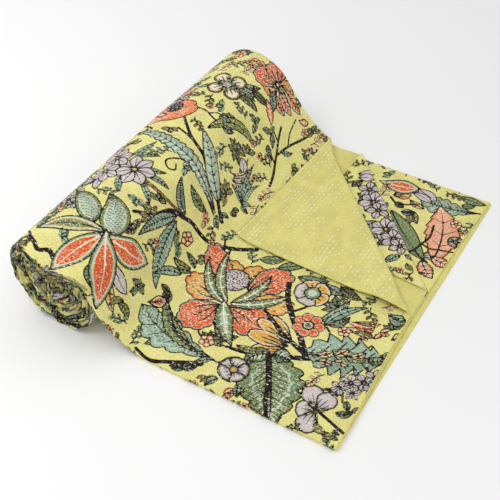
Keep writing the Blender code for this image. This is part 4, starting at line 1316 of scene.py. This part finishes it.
def stitch_grid(points, up, places, shown, patchy=0.8, size=1.0):
    """Running stitches on a face, in rows along the cloth, where shown is true. Patchy rows have gaps."""
    u, y = places
    n, m = u.shape
    rows = np.arange(0.5 * ROW, ACROSS, ROW)
    order = np.argsort(y[0])
    out = []
    for k, column in enumerate(np.interp(rows, y[0][order], np.arange(m)[order])):
        line_u = u[:, int(min(column, m - 2))]
        first = line_u[0] + STITCH * (0.15 + 0.7 * ((k * ROUGH_GOLDEN) % 1))
        starts = np.arange(first, line_u[-1] - STITCH, STITCH)
        starts = starts + STITCH_SHIFTS[0] * noise(starts / 0.006, k + 0.5, 51)
        sway = 0.5 * noise(starts / 0.03, k + 0.5, 52) + STITCH_SHIFTS[1] * np.sin(40 * line_u[0] + k)
        lengths = size * (STITCH_LENGTH + LENGTH_SHIFT * noise(starts / 0.004, k + 0.5, 53))
        i = [np.interp(starts + part * lengths, line_u, np.arange(n)) for part in (0.0, 0.5, 1.0)]
        sunk = noise(starts / 0.05, 0.25 * k, 54) + 0.9 * noise(starts / 0.004, k + 0.5, 55)
        keep = shown[np.round(i[1]).astype(int).clip(0, n - 1), int(round(column))] & (sunk > patchy - 1)
        j = np.clip(column + sway, 0, m - 1.001)
        ends = [between(points, p[keep], j[keep]) for p in i]
        out.append(np.stack([*ends, unit(between(up, i[1][keep], j[keep]))], 1))
    return np.concatenate(out)


def build_stitches(groups, material):
    """Each stitch is a low ridge over the cloth, with straight sides and pointed ends."""
    rows = np.concatenate(groups)
    start, middle, end, lift = (rows[:, k] for k in range(4))
    long = np.linalg.norm(end - start, axis=1, keepdims=True)
    side = unit(np.cross(end - start, lift)) * THREAD / 2 * np.clip(long / STITCH_LENGTH, 0.6, 1)
    sink, rise = lift * THREAD_SINK, lift * THREAD_RISE
    first, last = blend(start, middle, 0.4), blend(end, middle, 0.4)
    rim = [start - sink, first - side, last - side, end - sink, last + side, first + side]
    corners = np.stack([*rim, first + rise, last + rise], 1)
    corners[..., 2] = np.maximum(corners[..., 2], 0.0)
    faces = np.arange(len(rows))[:, None, None] * corners.shape[1] + np.array(STITCH_FACES)
    cloth = Cloth()
    cloth.add(corners, faces.reshape(-1, 3), BACK, np.zeros(2))
    return cloth.build("stitches", [material])


# ----------------------------------------------------------------------------- the materials


class Nodes:
    """Short names for making and joining shader nodes."""

    def __init__(self, name):
        self.material = bpy.data.materials.new(name)
        self.material.use_nodes = True
        self.tree = self.material.node_tree
        self.shader = self.tree.nodes["Principled BSDF"]

    def join(self, source, target):
        self.tree.links.new(source, target)

    def attribute(self, name, output):
        node = self.tree.nodes.new("ShaderNodeAttribute")
        node.attribute_name = name
        return node.outputs[output]

    def sum(self, operation, *values):
        node = self.tree.nodes.new("ShaderNodeMath")
        node.operation = operation
        for k, value in enumerate(values):
            if isinstance(value, (int, float)):
                node.inputs[k].default_value = value
            else:
                self.join(value, node.inputs[k])
        return node.outputs[0]

    def ramp(self, value, low, high, to_low=0.0, to_high=1.0):
        node = self.tree.nodes.new("ShaderNodeMapRange")
        node.interpolation_type = "SMOOTHSTEP"
        self.join(value, node.inputs["Value"])
        for label, number in (("From Min", low), ("From Max", high), ("To Min", to_low), ("To Max", to_high)):
            node.inputs[label].default_value = number
        return node.outputs["Result"]

    def noise(self, per_metre, detail=2.0):
        """Noise over the cloth, per_metre along it and across it."""
        scale = self.tree.nodes.new("ShaderNodeVectorMath")
        scale.operation = "MULTIPLY"
        self.join(self.attribute("place", "Vector"), scale.inputs[0])
        scale.inputs[1].default_value = (*per_metre, 1.0)
        node = self.tree.nodes.new("ShaderNodeTexNoise")
        node.noise_dimensions = "2D"
        node.inputs["Scale"].default_value = 1.0
        node.inputs["Detail"].default_value = detail
        self.join(scale.outputs[0], node.inputs["Vector"])
        return node.outputs[0]

    def mix(self, share, under, over):
        node = self.tree.nodes.new("ShaderNodeMix")
        node.data_type = "RGBA"
        for slot, value in ((0, share), (6, under), (7, over)):
            if isinstance(value, float):
                node.inputs[slot].default_value = value
            elif isinstance(value, (tuple, np.ndarray)):
                node.inputs[slot].default_value = (*value, 1.0)
            else:
                self.join(value, node.inputs[slot])
        return node.outputs[2]

    def flecks(self, colour, value, low, high, strength, over):
        """Another colour over a colour, by strength where value is over high."""
        return self.mix(self.sum("MULTIPLY", self.ramp(value, low, high), strength), colour, over)

    def finish(self, colour, roughness):
        for value, label in ((colour, "Base Color"), (roughness, "Roughness")):
            if isinstance(value, float):
                self.shader.inputs[label].default_value = value
            else:
                self.join(value, self.shader.inputs[label])
        return self.material


def cotton(name, printed):
    """Thin cotton with slubs along and across it; the printed side takes its colour from the paint."""
    nodes = Nodes(name)
    weft, warp = nodes.noise((130, 950)), nodes.noise((1100, 160))
    cloudy = nodes.noise((26, 34))
    grain = nodes.noise((620, 900), 1.0)
    if printed:
        colour = nodes.attribute("tint", "Color")
        # the dyes took unevenly, so small flecks of the pale ground show through them
        colour = nodes.flecks(colour, nodes.noise((300, 760), 1.0), 0.54, 0.64, 0.55, tone("F1E39A"))
        colour = nodes.flecks(colour, nodes.noise((480, 700), 1.0), 0.60, 0.72, 0.30, TONES["deep"])
        # the paint's lines are drawn where the depth in them, in mm, is over a ragged limit
        ragged = nodes.sum("MULTIPLY", nodes.sum("SUBTRACT", grain, 0.5), 0.8)
        for label, dye in (("pale", TONES["cream"]), ("ink", TONES["ink"])):
            edge = nodes.sum("ADD", nodes.attribute(label, "Fac"), ragged)
            colour = nodes.mix(nodes.ramp(edge, -0.50, -0.12), colour, dye)
    else:
        colour = nodes.mix(nodes.ramp(grain, 0.35, 0.70), PLAIN * 0.86, PLAIN * 1.06)
    colour = nodes.flecks(colour, weft, 0.60, 0.72, 0.24, tone("FBF8E4"))
    shade = nodes.ramp(warp, 0.30, 0.52, 0.86, 1.0)
    shade = nodes.sum("MULTIPLY", shade, nodes.ramp(cloudy, 0.3, 0.7, 0.93, 1.04))
    hue = nodes.tree.nodes.new("ShaderNodeHueSaturation")
    nodes.join(shade, hue.inputs["Value"])
    nodes.join(colour, hue.inputs["Color"])
    height = nodes.sum("ADD", warp, nodes.sum("MULTIPLY", grain, 0.5))
    height = nodes.sum("ADD", nodes.sum("MULTIPLY", weft, 0.6), height)
    relief = nodes.tree.nodes.new("ShaderNodeBump")
    relief.inputs["Strength"].default_value = 0.55
    relief.inputs["Distance"].default_value = 0.0004
    nodes.join(height, relief.inputs["Height"])
    nodes.join(relief.outputs[0], nodes.shader.inputs["Normal"])
    nodes.shader.inputs["Specular IOR Level"].default_value = 0.15
    nodes.shader.inputs["Sheen Weight"].default_value = 0.05
    nodes.shader.inputs["Sheen Roughness"].default_value = 0.5
    return nodes.finish(hue.outputs[0], nodes.ramp(grain, 0.3, 0.7, 0.80, 0.95))


def thread(name):
    nodes = Nodes(name)
    texture = nodes.tree.nodes.new("ShaderNodeTexNoise")
    texture.inputs["Scale"].default_value = 400.0
    return nodes.finish(nodes.mix(texture.outputs[0], tone("EFE9D2"), tone("FFFDF2")), 0.7)


# ------------------------------------------------------------------------- camera and light


def stage():
    camera = bpy.data.cameras.new("camera")
    camera.lens = 69.4
    camera.sensor_width = 36.0
    holder = bpy.data.objects.new("camera", camera)
    holder.location = (0.5450, -0.9596, 1.037)
    holder.rotation_euler = (math.radians(47), 0.0, math.radians(30.616))
    bpy.context.scene.collection.objects.link(holder)
    bpy.context.scene.camera = holder

    mesh = bpy.data.meshes.new("floor")
    mesh.from_pydata([(-4, -4, 0), (4, -4, 0), (4, 4, 0), (-4, 4, 0)], [], [(0, 1, 2, 3)])
    floor = bpy.data.objects.new("floor", mesh)
    bpy.context.scene.collection.objects.link(floor)
    material = bpy.data.materials.new("floor")
    material.use_nodes = True
    shader = material.node_tree.nodes["Principled BSDF"]
    shader.inputs["Base Color"].default_value = (0.93, 0.93, 0.93, 1)
    shader.inputs["Roughness"].default_value = 0.9
    mesh.materials.append(material)

    world = bpy.data.worlds.new("studio")
    world.use_nodes = True
    world.node_tree.nodes["Background"].inputs["Color"].default_value = (1, 1, 1, 1)
    world.node_tree.nodes["Background"].inputs["Strength"].default_value = 0.8
    bpy.context.scene.world = world
    for name, where, energy, size in (
        ("key", (-0.9, -0.7, 1.9), 22, 1.4),
        ("fill", (1.5, -0.4, 1.5), 8, 1.8),
    ):
        light = bpy.data.lights.new(name, "AREA")
        light.energy = energy
        light.size = size
        lamp = bpy.data.objects.new(name, light)
        lamp.location = where
        aim = -np.array(where) / np.linalg.norm(where)
        lamp.rotation_euler = (math.acos(-aim[2]), 0.0, math.atan2(aim[0], -aim[1]))
        bpy.context.scene.collection.objects.link(lamp)
    bpy.context.scene.view_settings.view_transform = "Standard"


def main():
    both = [cotton("printed_cotton", True), cotton("plain_cotton", False)]
    page, edge_page = top_print(), edge_print()
    second_page = corner_print(31, SECOND_LEAVES, (), SECOND_FLOWERS, ())
    third_page = corner_print(41, THIRD_LEAVES, THIRD_PETALS, THIRD_FLOWERS, THIRD_STEMS)
    outer, *outer_grid = build_outer(both, page)
    inner, *inner_grid = build_inner(both, second_page, third_page)
    roll, roll_points, roll_at, roll_shows = build_skin(both, page)
    ends = [end_strip(*end, both, page, edge_page) for end in (("near_end", False), ("far_end", True))]
    groups = []
    for (front, back), places, (print_shows, plain_shows), patchy in ((*outer_grid, 0.8), (*inner_grid, 0.9)):
        groups.append(stitch_grid(front, front - back, places, print_shows, size=PRINT_STITCH))
        groups.append(stitch_grid(back, back - front, places, plain_shows, patchy))
    roll_up = normals(roll_points, -1.0)
    groups.append(stitch_grid(roll_points, roll_up, roll_at, roll_shows, size=PRINT_STITCH))
    stitches = build_stitches(groups, thread("stitching"))
    for piece in (outer, inner, roll, *ends, stitches):
        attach(piece, "root")
        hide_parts("quilt")
    stage()


main()
